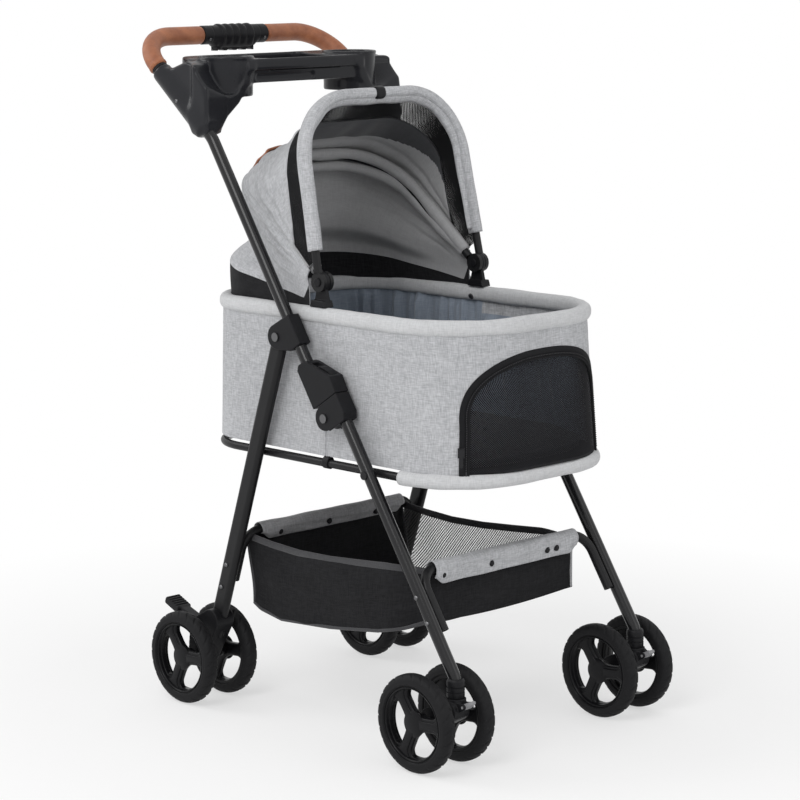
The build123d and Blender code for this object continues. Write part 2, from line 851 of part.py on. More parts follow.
def corner_point(plan, z):
    x = plan[1] - plan[4] + plan[4] * cos(zip_turn)
    return Vector(x, plan[4] - plan[2] - plan[4] * sin(zip_turn), z)


zip_way = (corner_point(plan_high, shell_high) - corner_point(plan_low, shell_low)).normalized()
zip_tangent = Vector(sin(zip_turn), cos(zip_turn), 0)
zip_out = zip_tangent.cross(zip_way).normalized()
zip_rise = window_sill + 1.5 * zip_height
zip_home = corner_point(plan_low, shell_low) + zip_way * zip_rise + zip_out * 2 * face_gap

with BuildPart() as zip_slider:
    with BuildSketch(Plane(origin=zip_home, x_dir=zip_tangent, z_dir=zip_out)):
        Rectangle(zip_width, zip_height)
        with Locations((0, -0.8 * zip_height)):
            SlotOverall(1.4 * zip_height, zip_width / 2, rotation=90)
    extrude(amount=zip_depth / 2)
    with BuildSketch(Plane(origin=zip_home + zip_out * zip_depth / 2, x_dir=zip_tangent, z_dir=zip_out)):
        Rectangle(zip_width - 3, zip_height - 3)
    extrude(amount=zip_depth / 2)
save(zip_slider, "zip_slider")

# Canopy
plate_mid = front_bow_half - knuckle_plate - face_gap
with BuildPart() as canopy_knuckles:
    for sign in sides.values():
        near = sign * (plate_mid - knuckle_plate / 2)
        far = sign * (plate_mid + knuckle_plate / 2)
        disc(knuckle_x, knuckle_z, near, far, knuckle_radius)
        outline(
            [
                (knuckle_x - knuckle_radius, rim_top + face_gap + 8),
                (knuckle_x + knuckle_radius, rim_top + face_gap + 8),
                (knuckle_x + knuckle_radius / 2, knuckle_z),
                (knuckle_x - knuckle_radius / 2, knuckle_z),
            ],
            sign * plate_mid,
            knuckle_plate / 2,
        )
        outline(
            [
                (knuckle_x - knuckle_radius - 2, rim_top + face_gap),
                (knuckle_x + knuckle_radius + 2, rim_top + face_gap),
                (knuckle_x + knuckle_radius - 1, rim_top + face_gap + 10),
                (knuckle_x - knuckle_radius + 1, rim_top + face_gap + 10),
            ],
            sign * (plate_mid + 2),
            knuckle_plate + 3,
        )
        pin_in = sign * (rear_bow_half - knuckle_plate / 2 - face_gap)
        pin_out = sign * (front_bow_half + knuckle_plate / 2 + face_gap)
        disc(knuckle_x, knuckle_z, pin_in, pin_out, pivot_radius)
        disc(knuckle_x, knuckle_z, pin_out, pin_out + sign * 2, pivot_head_radius)
        disc(knuckle_x, knuckle_z, pin_in, pin_in - sign * 2, pivot_head_radius)
save(canopy_knuckles, "canopy_knuckles")


def lean_plane(lean):
    turn = radians(lean)
    return Plane(origin=(knuckle_x, 0, knuckle_z), x_dir=(0, 1, 0), z_dir=(cos(turn), 0, sin(turn)))


def bow_route(lean, half, low, height):
    plane = lean_plane(lean)
    at_low = half - bow_draw_in * low / height
    arch = [(-at_low, low), (bow_draw_in - half, height), (half - bow_draw_in, height), (at_low, low)]
    return [plane.from_local_coords(Vector(across, up, 0)) for across, up in arch]


front_bow_route = bow_route(front_bow_lean, front_bow_half, 0, bow_height)
sleeve_arch = bow_route(front_bow_lean, front_bow_half, sleeve_low, bow_height)
rear_bow_height = bow_height - cover_thickness - bow_radius - face_gap
rear_bow_route = bow_route(rear_bow_lean, rear_bow_half, 0, rear_bow_height)


def bow(route, half):
    round_bar(route, bow_corner, bow_radius)
    round_bar(route, bow_corner, bow_radius - bow_wall, Mode.SUBTRACT)
    for sign in sides.values():
        near = sign * (half - knuckle_plate / 2)
        far = sign * (half + knuckle_plate / 2)
        with BuildSketch(side_plane(near)) as clear:
            with Locations((knuckle_x, knuckle_z)):
                Circle(knuckle_radius)
        extrude(clear.sketch, amount=2 * knuckle_plate, both=True, mode=Mode.SUBTRACT)
        disc(knuckle_x, knuckle_z, near, far, knuckle_radius)
        disc(knuckle_x, knuckle_z, near, far, pivot_radius + running_fit, Mode.SUBTRACT)


with BuildPart() as front_bow:
    bow(front_bow_route, front_bow_half)
save(front_bow, "front_bow")

with BuildPart() as rear_bow:
    bow(rear_bow_route, rear_bow_half)
save(rear_bow, "rear_bow")

with BuildPart() as front_bow_sleeve:
    round_bar(sleeve_arch, bow_corner, sleeve_radius)
    round_bar(front_bow_route, bow_corner, bow_radius + face_gap, Mode.SUBTRACT)
save(front_bow_sleeve, "front_bow_sleeve")

hinge_line = Axis((knuckle_x, 0, knuckle_z), (0, -1, 0))


def cover_band(lean, sweep_angle):
    with BuildSketch(lean_plane(lean)) as band:
        for inset, mode in ((0, Mode.ADD), (cover_thickness, Mode.SUBTRACT)):
            at_low = front_bow_half - inset
            at_high = front_bow_half - bow_draw_in - inset
            top = bow_height - inset
            with BuildLine():
                FilletPolyline(
                    (-at_low, cover_low), (-at_high, top), (at_high, top), (at_low, cover_low),
                    radius=bow_corner - inset,
                )
                Line((at_low, cover_low), (-at_low, cover_low))
            make_face(mode=mode)
    revolve(band.sketch, axis=hinge_line, revolution_arc=sweep_angle)


with BuildPart() as canopy_front:
    cover_band(front_bow_lean, rear_bow_lean - front_bow_lean)
    round_bar(sleeve_arch, bow_corner, sleeve_radius + face_gap, Mode.SUBTRACT)
save(canopy_front, "canopy_front")

with BuildPart() as canopy_rear:
    cover_band(rear_bow_lean + 0.2, cover_end_lean - rear_bow_lean)
save(canopy_rear, "canopy_rear")

with BuildPart() as carry_strap:
    with BuildSketch(lean_plane(rear_bow_lean - strap_sweep / 2)):
        with Locations((0, bow_height + face_gap + strap_thickness / 2)):
            Rectangle(2 * strap_half, strap_thickness)
    revolve(axis=hinge_line, revolution_arc=strap_sweep)
save(carry_strap, "carry_strap")

# Basket
with BuildPart() as basket:
    rear_face = rear_leg_x(cross_top_z) + cross_radius + face_gap
    front_face = front_tube_x(cross_top_z) - cross_radius - face_gap
    profile = [
        (rear_face, cross_top_z),
        basket_rear_low,
        basket_low,
        basket_mid,
        (front_face, basket_front_z),
        (front_face, cross_top_z),
    ]
    outline(profile, 0, basket_half)
    fillet(basket.edges().filter_by(Axis.Y).sort_by(Axis.Z)[:4], 14)
    offset(amount=-basket_wall, openings=basket.faces().sort_by(Axis.Z)[-1])
save(basket, "basket")
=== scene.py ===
import math
import bpy
import bmesh
import numpy as np
from mathutils import Matrix, Vector
from mathutils.bvhtree import BVHTree
from mathutils.geometry import tessellate_polygon


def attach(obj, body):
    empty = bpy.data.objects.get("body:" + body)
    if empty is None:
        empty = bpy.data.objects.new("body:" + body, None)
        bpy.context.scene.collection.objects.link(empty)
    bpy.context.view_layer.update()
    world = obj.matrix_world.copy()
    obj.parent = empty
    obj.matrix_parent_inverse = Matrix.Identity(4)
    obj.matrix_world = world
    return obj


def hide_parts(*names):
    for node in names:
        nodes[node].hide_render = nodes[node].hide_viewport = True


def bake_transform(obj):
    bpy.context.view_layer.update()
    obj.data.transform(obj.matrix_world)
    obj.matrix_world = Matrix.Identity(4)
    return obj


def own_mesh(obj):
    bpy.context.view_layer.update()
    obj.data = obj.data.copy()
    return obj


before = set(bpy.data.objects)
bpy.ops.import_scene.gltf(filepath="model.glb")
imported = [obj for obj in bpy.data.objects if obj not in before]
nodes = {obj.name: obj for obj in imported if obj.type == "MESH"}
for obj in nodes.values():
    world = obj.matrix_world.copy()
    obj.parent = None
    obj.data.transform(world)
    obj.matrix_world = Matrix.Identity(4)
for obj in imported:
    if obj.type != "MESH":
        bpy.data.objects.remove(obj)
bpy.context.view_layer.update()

mm = 0.001  # pieces are laid out in millimetres and stored in metres
sides = {"right": -1, "left": 1}
print("frame:", len(nodes), "nodes")

# shared node groups


def newGroup(name, floats, results):
    # a shader group with one vector input, float inputs with their defaults, and float outputs
    group = bpy.data.node_groups.new(name, "ShaderNodeTree")
    group.interface.new_socket("Vector", in_out="INPUT", socket_type="NodeSocketVector")
    for label, value in floats.items():
        socket = group.interface.new_socket(label, in_out="INPUT", socket_type="NodeSocketFloat")
        socket.default_value = value
    for label in results:
        group.interface.new_socket(label, in_out="OUTPUT", socket_type="NodeSocketFloat")
    return group, group.nodes.new("NodeGroupInput"), group.nodes.new("NodeGroupOutput")


def feed(tree, socket, value):
    # a number becomes the socket's own value, an output is linked to it
    if isinstance(value, (int, float)):
        socket.default_value = value
    else:
        tree.links.new(value, socket)


def calc(tree, operation, *values):
    node = tree.nodes.new("ShaderNodeMath")
    node.operation = operation
    for socket, value in zip(node.inputs, values):
        feed(tree, socket, value)
    return node.outputs[0]


def plus(tree, a, b):
    return calc(tree, "ADD", a, b)


def times(tree, a, b):
    return calc(tree, "MULTIPLY", a, b)


def noise(tree, vector, scale, detail=2.0, rough=0.5):
    node = tree.nodes.new("ShaderNodeTexNoise")
    node.inputs["Detail"].default_value = detail
    node.inputs["Roughness"].default_value = rough
    feed(tree, node.inputs["Scale"], scale)
    tree.links.new(vector, node.inputs["Vector"])
    return node.outputs["Fac"]


def stretch(tree, value, low, high):
    node = tree.nodes.new("ShaderNodeMapRange")
    node.inputs["From Min"].default_value = low
    node.inputs["From Max"].default_value = high
    tree.links.new(value, node.inputs["Value"])
    return node.outputs["Result"]


def joinXyz(tree, x, y, z=0.0):
    node = tree.nodes.new("ShaderNodeCombineXYZ")
    for socket, value in zip(node.inputs, (x, y, z)):
        feed(tree, socket, value)
    return node.outputs[0]


def splitXyz(tree, vector):
    node = tree.nodes.new("ShaderNodeSeparateXYZ")
    tree.links.new(vector, node.inputs[0])
    return node.outputs


def makeWeave():
    # plain weave with slubs: long pale and dark flecks along both thread directions
    group, start, end = newGroup("linenWeave", {"Threads": 700.0, "Slub": 1.0}, ("Height", "Tone"))
    fleck = 0.09  # width of a slub against its length
    u, v, _ = splitXyz(group, start.outputs["Vector"])
    across, along = (times(group, value, start.outputs["Threads"]) for value in (u, v))
    acrossTurn, alongTurn = (times(group, value, math.pi) for value in (across, along))
    warp, weft = (calc(group, "ABSOLUTE", calc(group, "SINE", value)) for value in (acrossTurn, alongTurn))
    waves = [calc(group, "COSINE", times(group, value, 0.5)) for value in (acrossTurn, alongTurn)]
    pick = stretch(group, times(group, *waves), -0.25, 0.25)
    under = times(group, weft, calc(group, "SUBTRACT", 1.0, pick))
    slubA = noise(group, joinXyz(group, across, times(group, along, fleck), 1.7), 1.0, 1.0)
    slubB = noise(group, joinXyz(group, times(group, across, fleck), along, 8.3), 1.0, 1.0)
    tone = stretch(group, plus(group, slubA, slubB), 0.72, 1.28)
    spread = times(group, calc(group, "SUBTRACT", tone, 0.5), start.outputs["Slub"])
    group.links.new(plus(group, times(group, warp, pick), under), end.inputs["Height"])
    group.links.new(plus(group, spread, 0.5), end.inputs["Tone"])
    return group


def makeGrain():
    # pebbled leather: small cells with soft creases between them
    group, start, end = newGroup("leatherGrain", {"Cells": 900.0}, ("Height", "Tone"))
    cells = group.nodes.new("ShaderNodeTexVoronoi")
    cells.feature = "DISTANCE_TO_EDGE"
    group.links.new(start.outputs["Vector"], cells.inputs["Vector"])
    group.links.new(start.outputs["Cells"], cells.inputs["Scale"])
    group.links.new(stretch(group, cells.outputs["Distance"], 0.0, 0.22), end.inputs["Height"])
    group.links.new(noise(group, start.outputs["Vector"], 45.0, 4.0, 0.6), end.inputs["Tone"])
    return group


def makeMould():
    # spark-eroded mould texture: a fine pebble for the bump and slow patches for the gloss
    group, start, end = newGroup("mouldTexture", {"Grain": 1400.0}, ("Height", "Patch"))
    pebble = noise(group, start.outputs["Vector"], start.outputs["Grain"], 2.0)
    group.links.new(pebble, end.inputs["Height"])
    group.links.new(noise(group, start.outputs["Vector"], 22.0, 4.0, 0.6), end.inputs["Patch"])
    return group


def makeNet():
    # knitted net: round holes on a diamond grid, with the mask 1 on the yarn
    group, start, end = newGroup("knitNet", {"Holes": 420.0, "Open": 0.33}, ("Mask", "Height"))
    u, v, _ = splitXyz(group, start.outputs["Vector"])
    squares = []
    for operation in ("ADD", "SUBTRACT"):
        cell = times(group, calc(group, operation, u, v), start.outputs["Holes"])
        offset = calc(group, "SUBTRACT", calc(group, "FRACT", cell), 0.5)
        squares.append(times(group, offset, offset))
    away = calc(group, "SQRT", plus(group, *squares))
    group.links.new(calc(group, "GREATER_THAN", away, start.outputs["Open"]), end.inputs["Mask"])
    group.links.new(away, end.inputs["Height"])
    return group


weaveGroup, grainGroup, mouldGroup, netGroup = makeWeave(), makeGrain(), makeMould(), makeNet()

# materials


def newMaterial(name, look):
    material = bpy.data.materials.new(name)
    material.use_nodes = True
    tree = material.node_tree
    shader = tree.nodes["Principled BSDF"]
    for label, value in look.items():
        shader.inputs[label].default_value = value
    coords = tree.nodes.new("ShaderNodeTexCoord")
    return material, tree, shader, coords


def addGroup(tree, group, vector, **values):
    node = tree.nodes.new("ShaderNodeGroup")
    node.node_tree = group
    tree.links.new(vector, node.inputs["Vector"])
    for label, value in values.items():
        node.inputs[label].default_value = value
    return node


def addBump(tree, shader, height, strength, distance):
    bump = tree.nodes.new("ShaderNodeBump")
    bump.inputs["Strength"].default_value = strength
    bump.inputs["Distance"].default_value = distance
    tree.links.new(height, bump.inputs["Height"])
    tree.links.new(bump.outputs["Normal"], shader.inputs["Normal"])


def blendColour(tree, factor, dark, light):
    mix = tree.nodes.new("ShaderNodeMix")
    mix.data_type = "RGBA"
    for label, value in (("A", dark), ("B", light)):
        socket = [s for s in mix.inputs if s.name == label and s.type == "RGBA"][0]
        if isinstance(value, tuple):
            socket.default_value = (*value, 1.0)
        else:
            tree.links.new(value, socket)
    tree.links.new(factor, [s for s in mix.inputs if s.name == "Factor" and s.type == "VALUE"][0])
    return [s for s in mix.outputs if s.type == "RGBA"][0]


def clothMaterial(name, dark, light, threads, slub=1.0, bump=0.35, sheen=0.15):
    look = {"Roughness": 0.92, "Sheen Weight": sheen, "Sheen Roughness": 0.5, "Specular IOR Level": 0.14}
    material, tree, shader, coords = newMaterial(name, look)
    weave = addGroup(tree, weaveGroup, coords.outputs["UV"], Threads=threads, Slub=slub)
    patch = stretch(tree, noise(tree, coords.outputs["Object"], 9.0, 3.0), 0.3, 0.7)
    tone = plus(tree, times(tree, weave.outputs["Tone"], 0.86), times(tree, patch, 0.14))
    tree.links.new(blendColour(tree, tone, dark, light), shader.inputs["Base Color"])
    addBump(tree, shader, weave.outputs["Height"], bump, 0.0006)
    return material


def plasticMaterial(name, dark, light, rough, grain, bump, coat=0.0):
    look = {"Coat Weight": coat, "Coat Roughness": 0.12, "Specular IOR Level": 0.15}
    material, tree, shader, coords = newMaterial(name, look)
    mould = addGroup(tree, mouldGroup, coords.outputs["Object"], Grain=grain)
    tree.links.new(blendColour(tree, mould.outputs["Patch"], dark, light), shader.inputs["Base Color"])
    gloss = plus(tree, times(tree, mould.outputs["Patch"], 0.16), rough - 0.08)
    tree.links.new(gloss, shader.inputs["Roughness"])
    addBump(tree, shader, mould.outputs["Height"], bump, 0.0004)
    return material


def leatherMaterial(name, dark, light):
    look = {"Specular IOR Level": 0.45, "Coat Weight": 0.05, "Coat Roughness": 0.35}
    material, tree, shader, coords = newMaterial(name, look)
    grain = addGroup(tree, grainGroup, coords.outputs["Object"], Cells=820.0)
    colour = blendColour(tree, stretch(tree, grain.outputs["Tone"], 0.3, 0.72), dark, light)
    # darker in the creases between the grain's cells: painted shade
    creaseShade = blendColour(tree, stretch(tree, grain.outputs["Height"], -0.7, 0.5), dark, colour)
    tree.links.new(creaseShade, shader.inputs["Base Color"])
    gloss = plus(tree, times(tree, grain.outputs["Tone"], 0.2), 0.4)
    tree.links.new(gloss, shader.inputs["Roughness"])
    addBump(tree, shader, grain.outputs["Height"], 0.3, 0.0005)
    return material


def netMaterial(name, colour, holes, gap):
    look = {"Roughness": 0.85, "Specular IOR Level": 0.12}
    material, tree, shader, coords = newMaterial(name, look)
    net = addGroup(tree, netGroup, coords.outputs["UV"], Holes=holes, Open=gap)
    tone = noise(tree, coords.outputs["Object"], 30.0)
    dark, light = (tuple(c * share for c in colour) for share in (0.8, 1.2))
    tree.links.new(blendColour(tree, tone, dark, light), shader.inputs["Base Color"])
    tree.links.new(net.outputs["Mask"], shader.inputs["Alpha"])
    addBump(tree, shader, net.outputs["Height"], 0.4, 0.0005)
    return material


def metalMaterial(name, colour, rough):
    material, tree, shader, coords = newMaterial(name, {"Metallic": 1.0})
    mould = addGroup(tree, mouldGroup, coords.outputs["Object"], Grain=2600.0)
    dark = tuple(c * 0.85 for c in colour)
    tree.links.new(blendColour(tree, mould.outputs["Patch"], dark, colour), shader.inputs["Base Color"])
    gloss = plus(tree, times(tree, mould.outputs["Patch"], 0.2), rough)
    tree.links.new(gloss, shader.inputs["Roughness"])
    addBump(tree, shader, mould.outputs["Height"], 0.08, 0.0002)
    return material


linen = clothMaterial("greyLinen", (0.34, 0.345, 0.36), (0.6, 0.607, 0.625), 1050.0, 1.0)
# linen painted lighter for the rim roll and hoop sleeve: a painted highlight where the rounded roll catches
# the light
paintedHighlightBinding = clothMaterial("paintedHighlightBinding", (0.47, 0.475, 0.485), (0.7, 0.705, 0.715), 1050.0, 0.6, 0.3)
liner = clothMaterial("blueGreyLiner", (0.2, 0.235, 0.29), (0.34, 0.385, 0.45), 900.0, 0.55, 0.2, 0.3)
shadeCloth = clothMaterial("greyLining", (0.3, 0.3, 0.305), (0.43, 0.43, 0.437), 900.0, 0.5, 0.2, 0.2)
# the grey lining darkened: painted shade for the top band inside the canopy's front
paintedShadeCloth = clothMaterial("liningPaintedShade", (0.045, 0.046, 0.05), (0.08, 0.081, 0.087), 900.0, 0.4, 0.2, 0.2)
padCloth = clothMaterial("padCloth", (0.06, 0.063, 0.07), (0.13, 0.135, 0.145), 620.0, 0.8)
blackCloth = clothMaterial(
    "blackCanvas", (0.008, 0.008, 0.009), (0.022, 0.022, 0.024), 800.0, 0.8, 0.4, 0.03)
tapeCloth = clothMaterial("blackTape", (0.01, 0.01, 0.011), (0.018, 0.018, 0.02), 1200.0, 0.5, 0.5, 0.02)
# black binding painted lighter grey: a painted sheen on the basket's edges and the zip coil
paintedSheenBinding = clothMaterial(
    "bindingPaintedSheen", (0.035, 0.035, 0.038), (0.07, 0.07, 0.075), 1200.0, 0.4, 0.3, 0.3)
windowNet = netMaterial("windowNet", (0.016, 0.016, 0.018), 330.0, 0.3)
canopyNet = netMaterial("canopyNet", (0.014, 0.014, 0.015), 330.0, 0.27)
basketNet = netMaterial("basketNet", (0.2, 0.2, 0.2), 210.0, 0.42)
# grey cloth: the left front corner piping's own grey, and on the rear tube wrap a darker copy of the linen as
# painted shade
greyClothAndShade = clothMaterial("greyClothAndShade", (0.3, 0.3, 0.31), (0.5, 0.5, 0.515), 1000.0, 1.0)
leather = leatherMaterial("tanLeather", (0.25, 0.082, 0.036), (0.45, 0.17, 0.078))
strapThread = leatherMaterial("tanThread", (0.4, 0.17, 0.08), (0.58, 0.27, 0.14))
glossPaint = plasticMaterial(
    "glossBlackPaint", (0.007, 0.007, 0.008), (0.012, 0.012, 0.013), 0.25, 300.0, 0.05, 0.4)
legPaint = plasticMaterial(
    "satinBlackPaint", (0.009, 0.009, 0.01), (0.016, 0.016, 0.017), 0.42, 900.0, 0.12, 0.1)
blackPlastic = plasticMaterial(
    "blackPlastic", (0.007, 0.007, 0.008), (0.014, 0.014, 0.016), 0.44, 1500.0, 0.16)
trayPlastic = plasticMaterial(
    "trayPlastic", (0.011, 0.0115, 0.014), (0.018, 0.0185, 0.022), 0.3, 1900.0, 0.08, 0.15)
hubPlastic = plasticMaterial("hubPlastic", (0.004, 0.004, 0.005), (0.009, 0.009, 0.01), 0.32, 1500.0, 0.08)
greyPlastic = plasticMaterial("greyPlastic", (0.24, 0.24, 0.25), (0.33, 0.33, 0.34), 0.5, 1500.0, 0.15)
rubber = plasticMaterial("blackRubber", (0.007, 0.007, 0.008), (0.016, 0.016, 0.017), 0.62, 1100.0, 0.25)
pinSteel = metalMaterial("pinSteel", (0.16, 0.16, 0.165), 0.3)
zipMetal = metalMaterial("zipMetal", (0.035, 0.035, 0.037), 0.32)
print("materials:", len(bpy.data.materials))

# mesh helpers


def signedVolume(points, faces):
    total = 0.0
    for face in faces:
        a = points[face[0]]
        for b, c in zip(face[1:-1], face[2:]):
            total += float(np.dot(a, np.cross(points[b], points[c])))
    return total / 6


def addMesh(name, points, faces, materials, faceMaterials=None, uv=None, closed=True, sharp=None):
    points = np.asarray(points, float)
    faces = [[int(i) for i in face] for face in faces]
    uv = None if uv is None else [list(map(tuple, row)) for row in uv]
    if closed and signedVolume(points - points.mean(0), faces) < 0:
        faces = [face[::-1] for face in faces]
        uv = None if uv is None else [row[::-1] for row in uv]
    mesh = bpy.data.meshes.new(name)
    mesh.from_pydata((points * mm).tolist(), [], faces)
    for material in materials if isinstance(materials, (list, tuple)) else [materials]:
        mesh.materials.append(material)
    if faceMaterials is not None:
        mesh.polygons.foreach_set("material_index", np.asarray(faceMaterials, np.int32))
    if uv is not None:
        layer = mesh.uv_layers.new(name="cloth")
        layer.data.foreach_set("uv", np.array([c for row in uv for p in row for c in p], np.float32))
    mesh.polygons.foreach_set("use_smooth", np.ones(len(mesh.polygons), bool))
    mesh.update()
    if sharp:
        mesh.set_sharp_from_angle(angle=math.radians(sharp))
    obj = bpy.data.objects.new(name, mesh)
    bpy.context.scene.collection.objects.link(obj)
    return obj


def gridFaces(nu, nv, closeU=False, closeV=False):
    lastU, lastV = (nu if closeU else nu - 1), (nv if closeV else nv - 1)
    a, b = np.meshgrid(np.arange(lastU), np.arange(lastV), indexing="ij")
    a1, b1 = (a + 1) % nu, (b + 1) % nv
    faces = np.stack([a * nv + b, a1 * nv + b, a1 * nv + b1, a * nv + b1], -1).reshape(-1, 4)
    square = ((0, 0), (1, 0), (1, 1), (0, 1))
    corners = np.stack([np.stack([a + i, b + j], -1) for i, j in square], -2).reshape(-1, 4, 2)
    return faces, corners


def gridUv(grid, corners, closeU=False, closeV=False):
    ringU = np.concatenate([grid, grid[:1]], 0) if closeU else grid
    ringV = np.concatenate([grid, grid[:, :1]], 1) if closeV else grid
    stepU = np.linalg.norm(np.diff(ringU, axis=0), axis=2).mean(1)
    stepV = np.linalg.norm(np.diff(ringV, axis=1), axis=2).mean(0)
    u, v = np.concatenate([[0], np.cumsum(stepU)]), np.concatenate([[0], np.cumsum(stepV)])
    return np.stack([u[corners[..., 0]], v[corners[..., 1]]], -1) * mm


def gridNormals(grid, closeU=False, closeV=False):
    def slope(axis, close):
        if close:
            return np.roll(grid, -1, axis) - np.roll(grid, 1, axis)
        return np.gradient(grid, axis=axis)
    normal = np.cross(slope(0, closeU), slope(1, closeV))
    return normal / np.maximum(np.linalg.norm(normal, axis=2, keepdims=True), 1e-9)


def tubeMesh(name, grid, materials, closeU=False, faceMaterials=None, sharp=None):
    # grid[u, v]: u runs along the tube and v round it; open tubes get flat ends
    nu, nv = grid.shape[:2]
    faces, corners = gridFaces(nu, nv, closeU, True)
    uv = [list(row) for row in gridUv(grid, corners, closeU, True)]
    faces = [list(face) for face in faces]
    marks = list(faceMaterials) if faceMaterials is not None else [0] * len(faces)
    if not closeU:
        for row, order in ((0, 1), (nu - 1, -1)):
            ring = [row * nv + k for k in range(nv)][::order]
            faces.append(ring)
            uv.append([(0.0, 0.0)] * nv)
            marks.append(0)
    return addMesh(name, grid.reshape(-1, 3), faces, materials, marks, uv, True, sharp)


def clothMesh(name, grid, thick, materials, closeU=False, closeV=False, outer=None, inner=None,
              innerGrid=None):
    # a sheet with two faces: grid is the face that shows, innerGrid or thick gives the other one
    nu, nv = grid.shape[:2]
    back = grid - gridNormals(grid, closeU, closeV) * thick if innerGrid is None else innerGrid
    faces, corners = gridFaces(nu, nv, closeU, closeV)
    uv = gridUv(grid, corners, closeU, closeV)
    shift = nu * nv
    marks = [0] * len(faces) if outer is None else list(outer)
    backMarks = [1 if len(materials) > 1 else 0] * len(faces) if inner is None else list(inner)
    allFaces = [list(f) for f in faces] + [[i + shift for i in f[::-1]] for f in faces]
    allUv = [list(r) for r in uv] + [list(r[::-1]) for r in uv]
    marks += backMarks
    borders = []
    if not closeU:
        for row, order in ((0, -1), (nu - 1, 1)):
            borders.append([row * nv + k for k in range(nv)][::order])
    if not closeV:
        ring = list(range(nu)) + ([0] if closeU else [])
        for column, order in ((0, 1), (nv - 1, -1)):
            borders.append([k * nv + column for k in ring][::order])
    for border in borders:
        for a, b in zip(border, border[1:]):
            allFaces.append([b, a, a + shift, b + shift])
            allUv.append([(0.0, 0.0), (0.002, 0.0), (0.002, 0.002), (0.0, 0.002)])
            marks.append(0)
    points = np.concatenate([grid.reshape(-1, 3), back.reshape(-1, 3)])
    return addMesh(name, points, allFaces, materials, marks, allUv)


def bridge(start, end, step):
    # even points between two ends, without the ends
    gap = end - start
    count = max(2, int(np.linalg.norm(gap) / step) + 1)
    return [start + gap * s for s in np.linspace(0, 1, count)[1:-1]]


def roundedRoute(points, radii, step=4.0, closed=False):
    points = [np.asarray(p, float) for p in points]
    count = len(points)
    radii = [radii] * count if isinstance(radii, (int, float)) else list(radii)
    if not closed and len(radii) == count - 2:
        radii = [0] + radii + [0]
    runs = []
    for k, p in enumerate(points):
        if not closed and k in (0, count - 1):
            runs.append([p])
            continue
        a, b = points[k - 1] - p, points[(k + 1) % count] - p
        a, b = a / np.linalg.norm(a), b / np.linalg.norm(b)
        turn = math.pi - math.acos(np.clip(a @ b, -1, 1))
        reach = radii[k] * math.tan(turn / 2)
        middle = p + (a + b) / np.linalg.norm(a + b) * radii[k] / math.cos(turn / 2)
        first, last = p + a * reach - middle, p + b * reach - middle
        share = np.linspace(0, 1, max(4, int(radii[k] * turn / step) + 2))
        swing = [math.sin((1 - s) * turn) * first + math.sin(s * turn) * last for s in share]
        runs.append([middle + arm / math.sin(turn) for arm in swing])
    route = []
    for run in runs:
        if route:
            route += bridge(route[-1], run[0], step)
        route += run
    if closed:
        route += bridge(route[-1], runs[0][0], step)
    return np.array(route)


def ringLength(ring):
    return np.concatenate([[0], np.cumsum(np.linalg.norm(np.diff(ring, axis=0), axis=1))])


def evenPoints(route, count, endpoint=True):
    # a plane route again, with its points at even distances
    along = ringLength(route)
    spread = np.linspace(0, along[-1], count, endpoint=endpoint)
    return np.stack([np.interp(spread, along, route[:, k]) for k in (0, 1)], 1)


def fullTurn(count):
    return np.linspace(0, 2 * math.pi, count, endpoint=False)


def unitRows(rows):
    return rows / np.linalg.norm(rows, axis=1, keepdims=True)


def leanFace(lean):
    angle = math.radians(lean)
    return np.array([math.cos(angle), 0, math.sin(angle)])


def framesAlong(route, closed=False, side=(0, 0, 1)):
    ahead = (np.roll(route, -1, 0) - np.roll(route, 1, 0)) if closed else np.gradient(route, axis=0)
    ahead = unitRows(ahead)
    first = np.asarray(side, float)
    out = []
    for t in ahead:
        first = first - t * (first @ t)
        first /= np.linalg.norm(first)
        out.append(first)
    out = np.array(out)
    return out, np.cross(ahead, out)


def sweepGrid(route, profile, closed=False, side=(0, 0, 1), scale=None):
    first, second = framesAlong(route, closed, side)
    size = np.ones(len(route)) if scale is None else np.asarray(scale)
    profile = np.asarray(profile, float)
    section = profile[None, :, :1] * first[:, None] + profile[None, :, 1:] * second[:, None]
    return route[:, None] + size[:, None, None] * section


def ovalProfile(a, b, count=24, power=2.0):
    turn = fullTurn(count)
    c, s = np.cos(turn), np.sin(turn)
    x, y = (np.sign(value) * np.abs(value) ** (2 / power) for value in (c, s))
    return np.stack([a * x, b * y], 1)


def ripple(a, b, seed, low, high, waves=7):
    rng = np.random.default_rng(seed)
    total = np.zeros(np.broadcast(a, b).shape)
    for _ in range(waves):
        turn = rng.uniform(0, 2 * math.pi)
        pace = rng.uniform(low, high)
        phase = rng.uniform(0, 2 * math.pi)
        total = total + np.sin(pace * (a * math.cos(turn) + b * math.sin(turn)) + phase)
    return total / math.sqrt(waves)


def smooth(value, low, high):
    t = np.clip((value - low) / (high - low), 0, 1)
    return t * t * (3 - 2 * t)


def joinShells(shells):
    # the points and faces of several closed shells, each with its faces turned outward
    points, faces, shift = [], [], 0
    for shell, shellFaces in shells:
        if signedVolume(shell - shell.mean(0), shellFaces) < 0:
            shellFaces = [face[::-1] for face in shellFaces]
        points.append(shell)
        faces += [[i + shift for i in face] for face in shellFaces]
        shift += len(shell)
    return np.concatenate(points), faces


def prism(near, far):
    # the points and faces of a closed shape between two outlines with the same number of points
    count = len(near)
    faces = [list(range(count)), [count + k for k in range(count)][::-1]]
    faces += [[k, k + count, (k + 1) % count + count, (k + 1) % count] for k in range(count)]
    return np.concatenate([near, far]), faces


def evaluatedMesh(obj):
    bpy.context.view_layer.update()
    return bpy.data.meshes.new_from_object(obj.evaluated_get(bpy.context.evaluated_depsgraph_get()))


